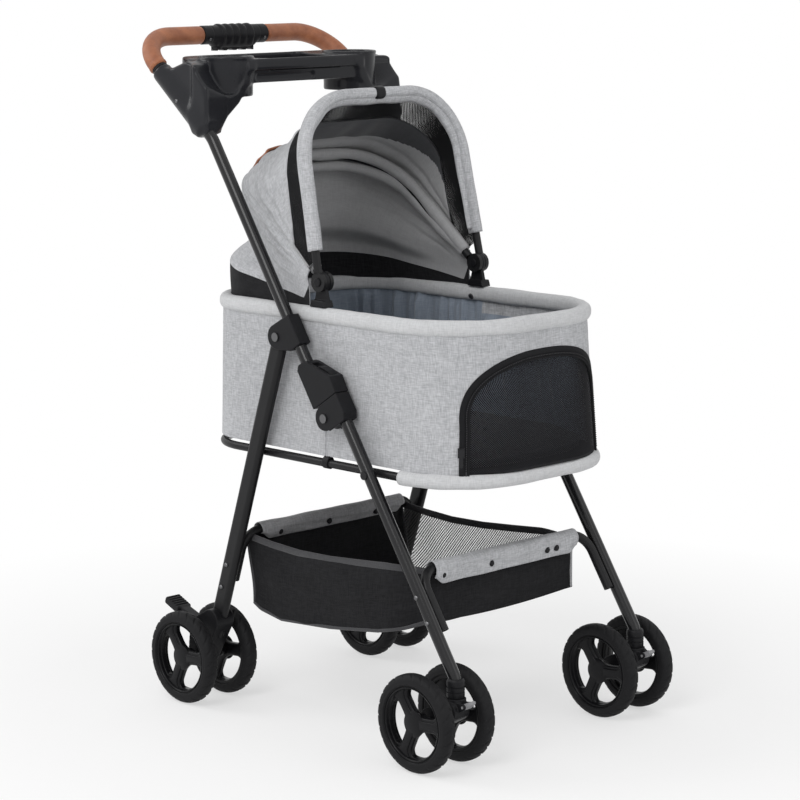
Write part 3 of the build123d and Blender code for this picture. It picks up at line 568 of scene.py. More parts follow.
def cutAway(obj, cutter):
    modifier = obj.modifiers.new("cut", "BOOLEAN")
    modifier.operation, modifier.solver, modifier.object = "DIFFERENCE", "EXACT", cutter
    made = evaluatedMesh(obj)
    obj.modifiers.remove(modifier)
    obj.data = made
    bpy.data.objects.remove(cutter)


def place(obj, body, slot, *stands):
    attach(obj, body)
    if stands:
        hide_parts(*stands)
    return obj


def paintNode(name, material):
    obj = nodes[name]
    if obj.material_slots:
        for slot in obj.material_slots:
            slot.material = material
    else:
        obj.data.materials.append(material)


# repeats: one tree that puts a small shape on every point of a route, turned to face along its normals


def makeRepeat():
    tree = bpy.data.node_groups.new("repeatOnPoints", "GeometryNodeTree")
    face = tree.interface
    face.new_socket("Geometry", in_out="INPUT", socket_type="NodeSocketGeometry")
    for label, kind, value in (("Radius", "Float", 0.004), ("Depth", "Float", 0.002), ("Sides", "Int", 16)):
        socket = face.new_socket(label, in_out="INPUT", socket_type="NodeSocket" + kind)
        socket.default_value = value
    face.new_socket("Finish", in_out="INPUT", socket_type="NodeSocketMaterial")
    face.new_socket("Geometry", in_out="OUTPUT", socket_type="NodeSocketGeometry")
    start, end = tree.nodes.new("NodeGroupInput"), tree.nodes.new("NodeGroupOutput")
    points = tree.nodes.new("GeometryNodeMeshToPoints")
    rod = tree.nodes.new("GeometryNodeMeshCylinder")
    dome = tree.nodes.new("GeometryNodeMeshCone")
    joined = tree.nodes.new("GeometryNodeJoinGeometry")
    lift = tree.nodes.new("GeometryNodeTransform")
    rise = tree.nodes.new("ShaderNodeCombineXYZ")
    half = times(tree, start.outputs["Depth"], 0.5)
    attribute = tree.nodes.new("GeometryNodeInputNamedAttribute")
    attribute.data_type = "FLOAT_VECTOR"
    attribute.inputs["Name"].default_value = "facing"
    turn = tree.nodes.new("FunctionNodeAlignRotationToVector")
    turn.axis = "Z"
    onPoints = tree.nodes.new("GeometryNodeInstanceOnPoints")
    realize = tree.nodes.new("GeometryNodeRealizeInstances")
    finish = tree.nodes.new("GeometryNodeSetMaterial")
    link = tree.links.new
    link(start.outputs["Geometry"], points.inputs["Mesh"])
    for shape, label in ((rod, "Radius"), (dome, "Radius Bottom")):
        link(start.outputs["Sides"], shape.inputs["Vertices"])
        link(start.outputs["Radius"], shape.inputs[label])
    link(times(tree, start.outputs["Radius"], 0.62), dome.inputs["Radius Top"])
    link(start.outputs["Depth"], rod.inputs["Depth"])
    link(half, dome.inputs["Depth"])
    link(half, rise.inputs["Z"])
    link(dome.outputs["Mesh"], lift.inputs["Geometry"])
    link(rise.outputs[0], lift.inputs["Translation"])
    link(rod.outputs["Mesh"], joined.inputs[0])
    link(lift.outputs[0], joined.inputs[0])
    link(attribute.outputs["Attribute"], turn.inputs["Vector"])
    link(points.outputs[0], onPoints.inputs["Points"])
    link(joined.outputs[0], onPoints.inputs["Instance"])
    link(turn.outputs[0], onPoints.inputs["Rotation"])
    link(onPoints.outputs[0], realize.inputs[0])
    link(realize.outputs[0], finish.inputs["Geometry"])
    link(start.outputs["Finish"], finish.inputs["Material"])
    link(finish.outputs[0], end.inputs[0])
    return tree


repeatTree = makeRepeat()


def repeatShape(name, points, facing, body, slot, material, radius, depth, count=16):
    mesh = bpy.data.meshes.new(name + "Points")
    mesh.from_pydata((np.asarray(points, float) * mm).tolist(), [], [])
    layer = mesh.attributes.new("facing", "FLOAT_VECTOR", "POINT")
    layer.data.foreach_set("vector", np.asarray(facing, np.float32).ravel())
    obj = bpy.data.objects.new(name, mesh)
    bpy.context.scene.collection.objects.link(obj)
    modifier = obj.modifiers.new("repeat", "NODES")
    modifier.node_group = repeatTree
    values = {"Radius": radius * mm, "Depth": depth * mm, "Sides": count, "Finish": material}
    for item in repeatTree.interface.items_tree:
        if item.in_out == "INPUT" and item.name in values:
            modifier[item.identifier] = values[item.name]
    obj.update_tag()
    made = evaluatedMesh(obj)
    obj.modifiers.remove(modifier)
    obj.data = made
    return place(obj, body, slot)


print("helpers ready")

# camera, light and floor

view = {"place": (2.8082, -2.7139, 1.1291), "yaw": 2.369109, "pitch": 0.17, "roll": -0.006783,
        "lens": 120.06, "sensor": 36.0}


def buildCamera():
    yaw, pitch, roll = view["yaw"], view["pitch"], view["roll"]
    ahead = Vector((math.cos(yaw) * math.cos(pitch), math.sin(yaw) * math.cos(pitch), -math.sin(pitch)))
    right = ahead.cross(Vector((0, 0, 1))).normalized()
    up = right.cross(ahead)
    c, s = math.cos(roll), math.sin(roll)
    right, up = right * c + up * s, up * c - right * s
    data = bpy.data.cameras.new("photoCamera")
    data.lens, data.sensor_width = view["lens"], view["sensor"]
    camera = bpy.data.objects.new("photoCamera", data)
    turn = Matrix((right, up, -ahead)).transposed().to_4x4()
    camera.matrix_world = Matrix.Translation(view["place"]) @ turn
    bpy.context.scene.collection.objects.link(camera)
    bpy.context.scene.camera = camera


studio = {"world": 0.6, "key": 55.0, "fill": 16.0, "rim": 20.0, "floor": (0.96, 0.96, 0.96),
          "clear": (0.55, 1.2), "under": 0.55}


def areaLight(name, spot, target, size, power):
    data = bpy.data.lights.new(name, "AREA")
    data.shape, data.size, data.energy = "DISK", size, power
    lamp = bpy.data.objects.new(name, data)
    lamp.location = spot
    lamp.rotation_euler = (Vector(target) - Vector(spot)).to_track_quat("-Z", "Y").to_euler()
    bpy.context.scene.collection.objects.link(lamp)


def seenDirectly(tree):
    path = tree.nodes.new("ShaderNodeLightPath")
    glossy = calc(tree, "MAXIMUM", path.outputs["Is Glossy Ray"], path.outputs["Is Transmission Ray"])
    return calc(tree, "MAXIMUM", path.outputs["Is Camera Ray"], glossy)


def mixShaders(tree, factor, first, second, output):
    mix = tree.nodes.new("ShaderNodeMixShader")
    for socket, value in zip(mix.inputs, (factor, first.outputs[0], second.outputs[0])):
        tree.links.new(value, socket)
    tree.links.new(mix.outputs[0], tree.nodes[output].inputs["Surface"])


def buildWorld():
    # even light on the object, and plain white where the camera looks past it
    world = bpy.data.worlds.new("studio")
    bpy.context.scene.world = world
    world.use_nodes = True
    tree = world.node_tree
    base, white = tree.nodes["Background"], tree.nodes.new("ShaderNodeBackground")
    for node, strength in ((base, studio["world"]), (white, 1.0)):
        node.inputs["Color"].default_value = (1, 1, 1, 1)
        node.inputs["Strength"].default_value = strength
    mixShaders(tree, seenDirectly(tree), base, white, "World Output")


def buildFloor():
    # white away from the object, with a soft shadow under it
    bpy.ops.mesh.primitive_plane_add(size=24, location=(0, 0, -0.0005))
    floor = bpy.context.object
    floor.name = "floor"
    look = {"Roughness": 0.9, "Specular IOR Level": 0.1}
    material, tree, shader, coords = newMaterial("paleFloor", look)
    spread = noise(tree, coords.outputs["Object"], 1.2, 2.0)
    dim = tuple(0.99 * c for c in studio["floor"])
    tree.links.new(blendColour(tree, spread, dim, studio["floor"]), shader.inputs["Base Color"])
    glow = tree.nodes.new("ShaderNodeEmission")
    glow.inputs["Strength"].default_value = 1.0
    x, y, _ = splitXyz(tree, coords.outputs["Object"])
    away = calc(tree, "SQRT", plus(tree, times(tree, x, x), times(tree, y, y)))
    clear = times(tree, stretch(tree, away, *studio["clear"]), 1 - studio["under"])
    share = times(tree, seenDirectly(tree), plus(tree, clear, studio["under"]))
    mixShaders(tree, share, shader, glow, "Material Output")
    floor.data.materials.append(material)


def buildStudio():
    bpy.context.scene.view_settings.view_transform = "Standard"
    buildWorld()
    areaLight("keyLight", (1.1, -3.0, 3.1), (0, 0, 0.5), 2.2, studio["key"])
    areaLight("fillLight", (3.4, 0.6, 1.9), (0, 0, 0.5), 2.6, studio["fill"])
    areaLight("rimLight", (-2.4, -1.6, 2.4), (0, 0, 0.6), 1.6, studio["rim"])
    buildFloor()


buildCamera()
buildStudio()
print("camera and studio ready")

# wheels

wheelLook = {"radius": 70.0, "half": 11.5, "rim": 55.0, "treads": 24, "treadDepth": 1.2, "spoke": 10.0,
             "turn": 5.0, "plate": 50.6, "opening": 48.6, "rear": -211.0, "front": 286.0}
pairY, pairHalf = 190.0, 39.0  # middle of each pair of wheels, and each wheel's distance from it
loopPoints = 96  # points on each outline of a spoke plate


def buildTyre(name, axleX, y, body):
    count = wheelLook["treads"] * 16
    turn = fullTurn(count)[:, None]
    bend = np.linspace(0, math.pi, 41)
    c, s = np.cos(bend), np.sin(bend)
    across = wheelLook["half"] * np.sign(c) * np.abs(c) ** 0.74
    radial = wheelLook["rim"] + (wheelLook["radius"] - wheelLook["rim"]) * s ** 0.7
    across = np.concatenate([across, [-9.5, 0, 9.5]])[None]
    radial = np.concatenate([radial, [wheelLook["rim"] - 0.4] * 3])[None]
    skew = 0.75 * np.abs(across) / wheelLook["half"]
    phase = turn * wheelLook["treads"] / (2 * math.pi) + skew + 0.5 * (across > 0)
    wave = np.abs((phase % 1.0) - 0.5) * 2
    groove = 1 - smooth(wave, 0.12, 0.27)
    reach = smooth(radial, 62.0, 67.5) * smooth(np.abs(across), 0.4, 2.4)
    line = 1 - smooth(np.abs(radial - 59.5), 0.2, 0.7)  # fine ring on the side wall
    r = radial - wheelLook["treadDepth"] * groove * reach - 0.35 * line * (np.abs(across) > 4)
    pull = np.sign(across) * (0.5 * line + 0.35 * groove * reach * smooth(np.abs(across), 8.0, 10.5))
    up = wheelLook["radius"] + r * np.sin(turn)
    grid = np.stack([axleX + r * np.cos(turn), y + across - pull + 0 * turn, up], -1)
    nu, nv = grid.shape[:2]
    faces, corners = gridFaces(nu, nv, True, True)
    obj = addMesh(name, grid.reshape(-1, 3), faces, rubber, None, gridUv(grid, corners, True, True))
    return place(obj, body, "black_tyre", name.rsplit(".", 1)[0])


def ringPiece(profile, axleX, y, outward, count=96):
    # turns a closed (radius, depth) outline round the axle
    turn = fullTurn(count)[:, None]
    profile = np.asarray(profile, float)
    r, d = profile[None, :, 0], profile[None, :, 1]
    up = wheelLook["radius"] + r * np.sin(turn)
    return np.stack([axleX + r * np.cos(turn), y + outward * d + 0 * turn, up], -1)


def spokeHole(start, grow=0.0):
    # one opening between two spokes, as a closed outline in the plane of the wheel
    half, outer = wheelLook["spoke"] - grow, wheelLook["opening"] + grow
    first, last = math.radians(start), math.radians(start + 120)
    gap = math.asin(half / outer)
    rim = np.linspace(first + gap, last - gap, 9)
    points = [(outer * math.cos(a), outer * math.sin(a), 0) for a in rim]
    middle, near = math.radians(start + 60), half / math.sin(math.radians(60))
    points.append((near * math.cos(middle), near * math.sin(middle), 0))
    route = roundedRoute(points, [9.0 + grow] + [24.0] * 7 + [9.0 + grow, 30.0 + grow], 1.5, True)[:, :2]
    return evenPoints(np.concatenate([route, route[:1]]), loopPoints, False)


def spokePlate(grow, low, high, edge):
    # the three spokes as a plate with rounded edges round its openings: points (across, up, depth) and faces
    steps = [math.radians(a) for a in (0, 30, 60, 90)]
    levels = [(low + edge * (1 - math.cos(a)), edge * (1 - math.sin(a))) for a in steps]
    levels += [(high - edge * (1 - math.cos(a)), edge * (1 - math.sin(a))) for a in steps[::-1]]
    angle = fullTurn(loopPoints)
    circle = np.stack([np.cos(angle), np.sin(angle)], 1) * wheelLook["plate"]
    points, faces = [], []
    for depth, pull in levels:
        loops = [circle] + [spokeHole(wheelLook["turn"] + 120 * k, grow + pull) for k in range(3)]
        points += [(x, z, depth) for loop in loops for x, z in loop]
    size, rows = 4 * loopPoints, len(levels)
    for row in range(rows - 1):
        for loop in range(4):
            start = row * size + loop * loopPoints
            for k in range(loopPoints):
                a, b = start + k, start + (k + 1) % loopPoints
                faces.append([a, b, b + size, a + size] if loop == 0 else [b, a, a + size, b + size])
    for row, flip in ((0, True), (rows - 1, False)):
        level = [Vector((x, z, 0)) for x, z, _ in points[row * size:(row + 1) * size]]
        rings = [level[loop * loopPoints:(loop + 1) * loopPoints] for loop in range(4)]
        for face in tessellate_polygon(rings):
            face = [row * size + i for i in face]
            a, b, c = (points[i] for i in face)
            up = (b[0] - a[0]) * (c[1] - a[1]) - (b[1] - a[1]) * (c[0] - a[0]) > 0
            faces.append(face[::-1] if up == flip else face)
    return np.array(points), faces


hubLook = {
    # (radius, depth) outlines, and what each layer of the spokes grows by, its two depths and its edge
    "rim": [(55.0, -9.5), (55.0, 8.2), (56.6, 8.8), (56.9, 9.9), (56.2, 10.8), (54.4, 11.0), (53.6, 10.2),
            (53.2, 9.2), (52.6, 9.2), (52.2, 10.0), (51.2, 10.3), (50.2, 9.7), (49.6, 8.2), (49.2, 2.0),
            (49.2, -5.0), (49.8, -9.0), (52, -10.0)],
    "boss": [(4.2, -13.0), (12.0, -13.0), (12.4, -2.0), (18.0, 2.0), (19.0, 5.0), (16.0, 6.4), (11.0, 7.3),
             (6.0, 7.8), (0.05, 7.9), (0.05, 6.4), (4.2, 6.4)],
    "layers": ((0.0, -5.5, 5.2, 2.8), (4.4, 3.6, 7.0, 1.8)),
}


def buildHub(name, axleX, y, outward, body, node):
    shells = []
    for profile in (hubLook["rim"], hubLook["boss"]):
        grid = ringPiece(profile, axleX, y, outward)
        faces, _ = gridFaces(*grid.shape[:2], True, True)
        shells.append((grid.reshape(-1, 3), [list(f) for f in faces]))
    for layer in hubLook["layers"]:
        plate, faces = spokePlate(*layer)
        across, up, depth = plate.T
        shells.append((np.stack([axleX + across, y + outward * depth, wheelLook["radius"] + up], 1), faces))
    points, faces = joinShells(shells)
    obj = addMesh(name, points, faces, hubPlastic, None, None, False, 38)
    return place(obj, body, "black_plastic", node)


def buildWheels():
    for end in ("rear", "front"):
        axleX = wheelLook[end]
        for side, sign in sides.items():
            for spot, outward in (("outer", sign), ("inner", -sign)):
                label = f"{end}_{side}_{spot}"
                y = sign * pairY + outward * pairHalf
                buildTyre(label + "_tyre.cover", axleX, y, label + "_wheel")
                buildHub(label + "_hub.cast", axleX, y, outward, label + "_wheel", label + "_hub")


buildWheels()
print("wheels built")

# carrier: wall, rim, floor, window

# a plan is its rear x, front x, half width, rear corner and front corner
carrierLook = {"low": 404.3, "high": 600.3, "planLow": (-235, 325, 171, 84, 124),
               "planHigh": (-229, 309, 168, 82, 122), "planRim": (-224, 305, 163.5, 78, 118),
               "rimZ": 605.8, "wall": 4.0, "seam": 46.0, "collar": 40.0, "floor": 3.8}


def planRing(plan, inset=0.0):
    rear, front, half, rearCorner, frontCorner = plan
    rear, front, half = rear + inset, front - inset, half - inset
    rearCorner, frontCorner = rearCorner - inset, frontCorner - inset

    def run(a, b, count):
        share = np.linspace(0, 1, count, endpoint=False)[:, None]
        return np.asarray(a, float) * (1 - share) + np.asarray(b, float) * share

    def arc(cx, cy, radius, first, last, count):
        angle = np.radians(np.linspace(first, last, count, endpoint=False))
        return np.stack([cx + radius * np.cos(angle), cy + radius * np.sin(angle)], 1)

    def flank(y):
        # one long side, front to rear, with close points round the side seam
        seam, counts = carrierLook["seam"], (34, 10, 44)
        stops = (front - frontCorner, seam + 4, seam - 4, rear + rearCorner)
        runs = [run((a, y), (b, y), count) for a, b, count in zip(stops, stops[1:], counts)]
        return np.concatenate(runs + [[(stops[-1], y)]])

    return np.concatenate([
        run((front, 0), (front, half - frontCorner), 12),
        arc(front - frontCorner, half - frontCorner, frontCorner, 0, 90, 64),
        flank(half)[:-1],
        arc(rear + rearCorner, half - rearCorner, rearCorner, 90, 180, 28),
        run((rear, half - rearCorner), (rear, rearCorner - half), 32),
        arc(rear + rearCorner, rearCorner - half, rearCorner, 180, 270, 28),
        flank(-half)[:0:-1],
        arc(front - frontCorner, frontCorner - half, frontCorner, 270, 360, 64),
        run((front, frontCorner - half), (front, 0), 12),
    ])


def ringNormals(ring):
    ahead = unitRows(np.roll(ring, -1, 0) - np.roll(ring, 1, 0))
    return np.stack([ahead[:, 1], -ahead[:, 0]], 1)


def wallX(y, z):
    # x of the front wall's outer face
    t = (z - carrierLook["low"]) / (carrierLook["high"] - carrierLook["low"])
    low, high = carrierLook["planLow"], carrierLook["planHigh"]
    front, half, corner = (low[k] * (1 - t) + high[k] * t for k in (1, 2, 4))
    over = np.clip(np.abs(y) - (half - corner), 0, corner - 0.5)
    return front - corner + np.sqrt(corner ** 2 - over ** 2)


windowLook = {"half": 137.0, "narrow": 133.0, "sill": 402.0, "spring": 470.0, "arch": 94.0, "square": 2.6,
              "tape": 7.6, "tooth": 3.2}


def windowHalf(z):
    # half width of the window at a height: sides that lean in a little, then a full arch
    lean = np.clip((z - windowLook["sill"]) / (windowLook["spring"] - windowLook["sill"]), 0, 1)
    over = np.clip((z - windowLook["spring"]) / windowLook["arch"], 0, 0.9999)
    side = windowLook["half"] * (1 - lean) + windowLook["narrow"] * lean
    return side * (1 - over ** windowLook["square"]) ** (1 / windowLook["square"])


def archOutline(margin=0.0):
    # outline of the window in the front view: up the left, over the arch, down the right
    straight, turn = 24, np.linspace(0, math.pi / 2, 60)
    sill, spring, power = windowLook["sill"], windowLook["spring"], 2 / windowLook["square"]
    arch = spring + (windowLook["arch"] - margin) * np.sin(turn) ** power
    rise = np.concatenate([np.linspace(sill, spring, straight, endpoint=False), arch])
    side = windowHalf(rise)
    side[straight:] = windowLook["narrow"] * np.cos(turn) ** power
    side = side * (1 - margin / windowLook["half"])
    left = np.stack([side, rise], 1)
    return np.concatenate([left, (left * [-1, 1])[-2::-1]])


def buildWall():
    rows, collarRow = 44, 37
    ringLow, ringHigh = planRing(carrierLook["planLow"]), planRing(carrierLook["planHigh"])
    low, high = carrierLook["low"], carrierLook["high"] + 4
    levels = np.linspace(0, 1, rows)[None, :, None]
    ring = ringLow[:, None] * (1 - levels) + ringHigh[:, None] * levels
    normal = ringNormals(ringLow)[:, None]
    along = ringLength(ringLow)[:, None]
    height = levels[..., 0]
    z = low + (high - low) * height
    ahead, aside = normal[..., 0], np.abs(normal[..., 1])
    sag = -2.2 * np.sin(math.pi * height) * smooth(aside, 0.7, 1.0)

    # a band under the rim and a seam down each flank
    flat = smooth(aside, 0.9, 1.0)
    band = 0.9 * smooth(height, 0.80, 0.84) - 0.7 * np.exp(-((height - 0.81) / 0.012) ** 2)
    band = band * (0.2 + 0.8 * flat)
    offSeam = ring[..., 0] - carrierLook["seam"]
    lips = 0.8 * np.exp(-((np.abs(offSeam) - 2.4) / 1.2) ** 2)
    band = band + flat * (lips - 1.3 * np.exp(-(offSeam / 0.8) ** 2))

    # slack in the cloth, with pleats at the front corners
    waves = 0.7 * ripple(along / 60, z / 75, 4, 1.0, 3.0) + 0.35 * ripple(along / 18, z / 60, 5, 1.0, 2.2)
    corner = smooth(ahead, 0.1, 0.4) * smooth(aside, 0.3, 0.6)
    pleats = ripple(along / 5, z / 260, 12, 1.0, 1.8) * corner * smooth(height, 0.5, 0.95)
    waves = waves * (1 - 0.7 * smooth(ahead, 0.2, 0.7)) + pleats
    outside = ring + normal * (sag + band + waves)[..., None]
    outer = np.concatenate([outside, np.broadcast_to(z, outside.shape[:2])[..., None]], 2)

    # the liner hangs in folds that ease off towards the rim
    folds = 8.0 * np.abs(ripple(along / 9, z / 400, 9, 1.0, 2.2))
    folds = folds + 2.4 * np.abs(ripple(along / 5, z / 200, 10, 1.0, 2.0))
    collared = smooth(height, 0.8, 0.86) * (ring[..., 0] > carrierLook["collar"])
    folds = folds * smooth(height, 0.08, 0.4) * (1 - 0.85 * collared) * (1 - 0.5 * smooth(height, 0.88, 0.96))
    inside = ring + normal * (-carrierLook["wall"] - folds + sag)[..., None]
    inner = np.concatenate([inside, np.broadcast_to(z, inside.shape[:2])[..., None]], 2)
    inFront = ringLow[:, 0] > carrierLook["collar"]
    _, corners = gridFaces(len(ring), rows, True)
    collar = [0 if c[0][1] >= collarRow and inFront[c[0][0]] else 1 for c in corners]
    wall = clothMesh("carrierWall", outer, 0, [linen, liner], True, False, None, collar, inner)
    outline = archOutline()
    near = np.stack([np.full(len(outline), 180.0), outline[:, 0], outline[:, 1]], 1)
    cutAway(wall, addMesh("windowCut", *prism(near, near + [200.0, 0, 0]), [linen]))
    wall.data.polygons.foreach_set("use_smooth", np.ones(len(wall.data.polygons), bool))
    wall.data.set_sharp_from_angle(angle=math.radians(50))
    place(wall, "carrier", "grey_fabric", "carrier_shell")

    ring = planRing(carrierLook["planLow"], 2.0)
    under = np.concatenate([ring, np.full((len(ring), 1), low)], 1)
    shape = prism(under, under + [0, 0, carrierLook["floor"]])
    board = addMesh("carrierFloor", *shape, blackCloth, None, None, True, 40)
    place(board, "carrier", "pad_fabric")


def buildRim():
    ring = planRing(carrierLook["planRim"])
    along = ringLength(ring)
    route = np.concatenate([ring, np.full((len(ring), 1), carrierLook["rimZ"])], 1)
    size = 1 + 0.025 * ripple(along / 30, 0 * along, 21, 1.0, 3.0)
    size = size + 0.012 * ripple(along / 7, 0 * along, 22, 1.0, 2.0)
    grid = sweepGrid(route, ovalProfile(11.5, 10.6, 28, 2.3), True, (0, 0, 1), size)
    # the roll's paler cloth is a painted highlight
    rim = tubeMesh("rimRoll", grid, paintedHighlightBinding, True)
    place(rim, "carrier", "grey_fabric")


def buildWindow():
    rows = np.linspace(0, 1, 46)
    low, top = carrierLook["low"] + 0.6, windowLook["spring"] + windowLook["arch"] - 1.5
    z = low + (top - low) * rows
    share = np.linspace(-1, 1, 64)
    y = share[:, None] * (windowHalf(z + 1.0) - 1.0)[None]
    zz = np.broadcast_to(z, y.shape)
    dip = 1.5 * np.cos(share[:, None] * math.pi / 2) * np.sin(math.pi * rows[None])
    x = wallX(y, zz) - 2.2 - dip + 0.5 * ripple(y / 40, zz / 40, 31, 1.0, 2.0)
    net = clothMesh("windowNetPanel", np.stack([x, y, zz], -1), 0.5, [windowNet])
    place(net, "carrier", "black_mesh", "mesh_door")

    outline = archOutline(1.5)
    y, z = outline[:, 0], outline[:, 1]
    route = np.stack([wallX(y, z), y, z], 1)
    nudge = 0.5
    ny = -(wallX(y + nudge, z) - wallX(y - nudge, z)) / (2 * nudge)
    nz = -(wallX(y, z + nudge) - wallX(y, z - nudge)) / (2 * nudge)
    out = unitRows(np.stack([np.ones(len(y)), ny, nz], 1))
    across = np.cross(out, unitRows(np.gradient(route, axis=0)))
    # section of the tape: a flat hem on each side and the raised coil between them
    w, coilAt, coilTop = windowLook["tape"], 0.35, 2.2
    shape = np.array([(-w, -1.6), (-w, 0.9), (-w + 0.8, 1.9), (-w * 0.4, 2.1), (w * 0.06, 1.9),
                      (w * 0.12, 1.1), (w * 0.2, 1.2), (w * 0.25, coilTop), (w * coilAt, 2.5),
                      (w * 0.45, coilTop), (w * 0.5, 1.2), (w * 0.58, 1.1), (w * 0.64, 1.8),
                      (w - 0.8, 1.7), (w, 0.8), (w, -1.6)])
    grid = route[:, None] + shape[None, :, :1] * across[:, None] + shape[None, :, 1:] * out[:, None]
    # the raised coil takes the lighter binding cloth, a painted highlight along the zip
    coil = [1 if 7 <= k % len(shape) <= 8 else 0 for k in range((len(grid) - 1) * len(shape))]
    tape = tubeMesh("windowTape", grid, [tapeCloth, paintedSheenBinding], False, coil)
    place(tape, "carrier", "black_mesh")

    length = ringLength(route)
    stops = np.arange(8.0, length[-1] - 8.0, windowLook["tooth"])
    line = route + across * w * coilAt + out * coilTop
    points, facing = (np.stack([np.interp(stops, length, values[:, k]) for k in range(3)], 1)
                      for values in (line, out))
    repeatShape("zipTeeth", points, facing, "carrier", "black_plastic", blackPlastic, 1.15, 0.9, 8)


sleeveLook = {"start": 200.0, "front": 316.0, "half": 170.0, "z": 394.0, "corner": 112.0, "radius": 10.3}


def buildSleeve():
    back, front, half, z = (sleeveLook[key] for key in ("start", "front", "half", "z"))
    stops = [(back, -half, z), (front, -half, z), (front, half, z), (back, half, z)]
    route = roundedRoute(stops, sleeveLook["corner"], 3.0)
    along = ringLength(route)
    size = 1 + 0.03 * ripple(along / 22, 0 * along, 41, 1.0, 3.0)
    profile = ovalProfile(sleeveLook["radius"], sleeveLook["radius"], 24)
    grid = sweepGrid(route, profile, False, (0, 0, 1), size)
    # the same paler cloth, a painted highlight
    sleeve = tubeMesh("hoopSleeveRoll", grid, paintedHighlightBinding)
    place(sleeve, "carrier", "grey_fabric", "hoop_sleeve")


clipLook = {"radius": 7.7, "z": 394.0, "lift": 3.2, "half": 5.5, "thick": 1.3, "side": (49.5, 170.0),
            "rear": (-229.0, 58.0), "stud": (21.0, 153.2, 601.0)}


def buildClips():
    # moulded loops that tie the floor to the hoop, and a press stud inside the rim on each side
    turn, r = fullTurn(40), clipLook["radius"]
    high = clipLook["z"] + r * np.sin(turn) + clipLook["lift"] * np.maximum(np.sin(turn), 0) ** 2
    width = np.linspace(-clipLook["half"], clipLook["half"], 7)
    across, along, z = np.broadcast_arrays((r * np.cos(turn))[:, None], width[None], high[:, None])
    for label, sign in sides.items():
        for name, spot in (("hoopClip", "side"), ("rearHoopClip", "rear")):
            x, y = clipLook[spot]
            first, second = (across, along) if spot == "rear" else (along, across)
            shape = (first + x, second + sign * y, z)
            loop = clothMesh(f"{name}_{label}", np.stack(shape, -1), clipLook["thick"], [blackPlastic], True)
            place(loop, "carrier", "black_plastic")
    x, y, z = clipLook["stud"]
    points = [(x, sign * y, z) for sign in sides.values()]
    facing = [(0, -0.9 * sign, -0.42) for sign in sides.values()]
    repeatShape("rimStuds", points, facing, "carrier", "pin_steel", pinSteel, 4.6, 1.6, 20)


padLook = {"inset": 9.0, "top": 427.0, "edge": 413.0, "under": 408.8, "crown": 5.0, "drop": 7.0}


def buildPad():
    ring = planRing(carrierLook["planHigh"], padLook["inset"])
    centre = ring.mean(0)
    # each row: share of the plan's size, and its height
    levels = []
    for f in np.concatenate([np.linspace(0.02, 0.9, 16), [0.95, 0.985, 1.0]]):
        crown = padLook["crown"] * (1 - f ** 4) - padLook["drop"] * smooth(np.array(f), 0.9, 1.0)
        levels.append((f, padLook["top"] + crown))
    levels += [(0.995, padLook["edge"])] + [(f, padLook["under"]) for f in (0.97, 0.5, 0.02)]
    rows = [np.concatenate([centre + (ring - centre) * f, np.full((len(ring), 1), z)], 1) for f, z in levels]
    grid = np.stack(rows, 0)
    across, along = grid[..., 1], grid[..., 0]
    soft = grid[..., 2] > padLook["edge"] + 2
    grid[..., 2] += 0.6 * ripple(along / 50, across / 50, 51, 1.0, 2.5) * soft
    pad = tubeMesh("floorPad", grid, padCloth)
    place(pad, "carrier", "pad_fabric", "carrier_pad")


buildWall()
buildRim()
buildWindow()
buildSleeve()
buildClips()
buildPad()
print("carrier built")

# canopy

# leans are degrees back from upright about the line at x and z
canopyLook = {"x": 30.0, "z": 653.0, "half": 165.5, "height": 264.0, "corner": 98.0, "draw": 9.0, "low": 30.0,
              "frontLean": 11.5, "cover": (12.6, 53.5), "tuck": 26.0, "sag": 23.0}


def archCurve(half, low, height, count):
    draw = canopyLook["draw"]
    foot = half - draw * low / height
    stops = [(-foot, low, 0), (draw - half, height, 0), (half - draw, height, 0), (foot, low, 0)]
    return evenPoints(roundedRoute(stops, canopyLook["corner"], 2.0), count)


def leanPoint(lean, across, up):
    angle = np.radians(lean)
    x, z = canopyLook["x"] - up * np.sin(angle), canopyLook["z"] + up * np.cos(angle)
    return np.stack([x, across + 0 * angle, z], -1)


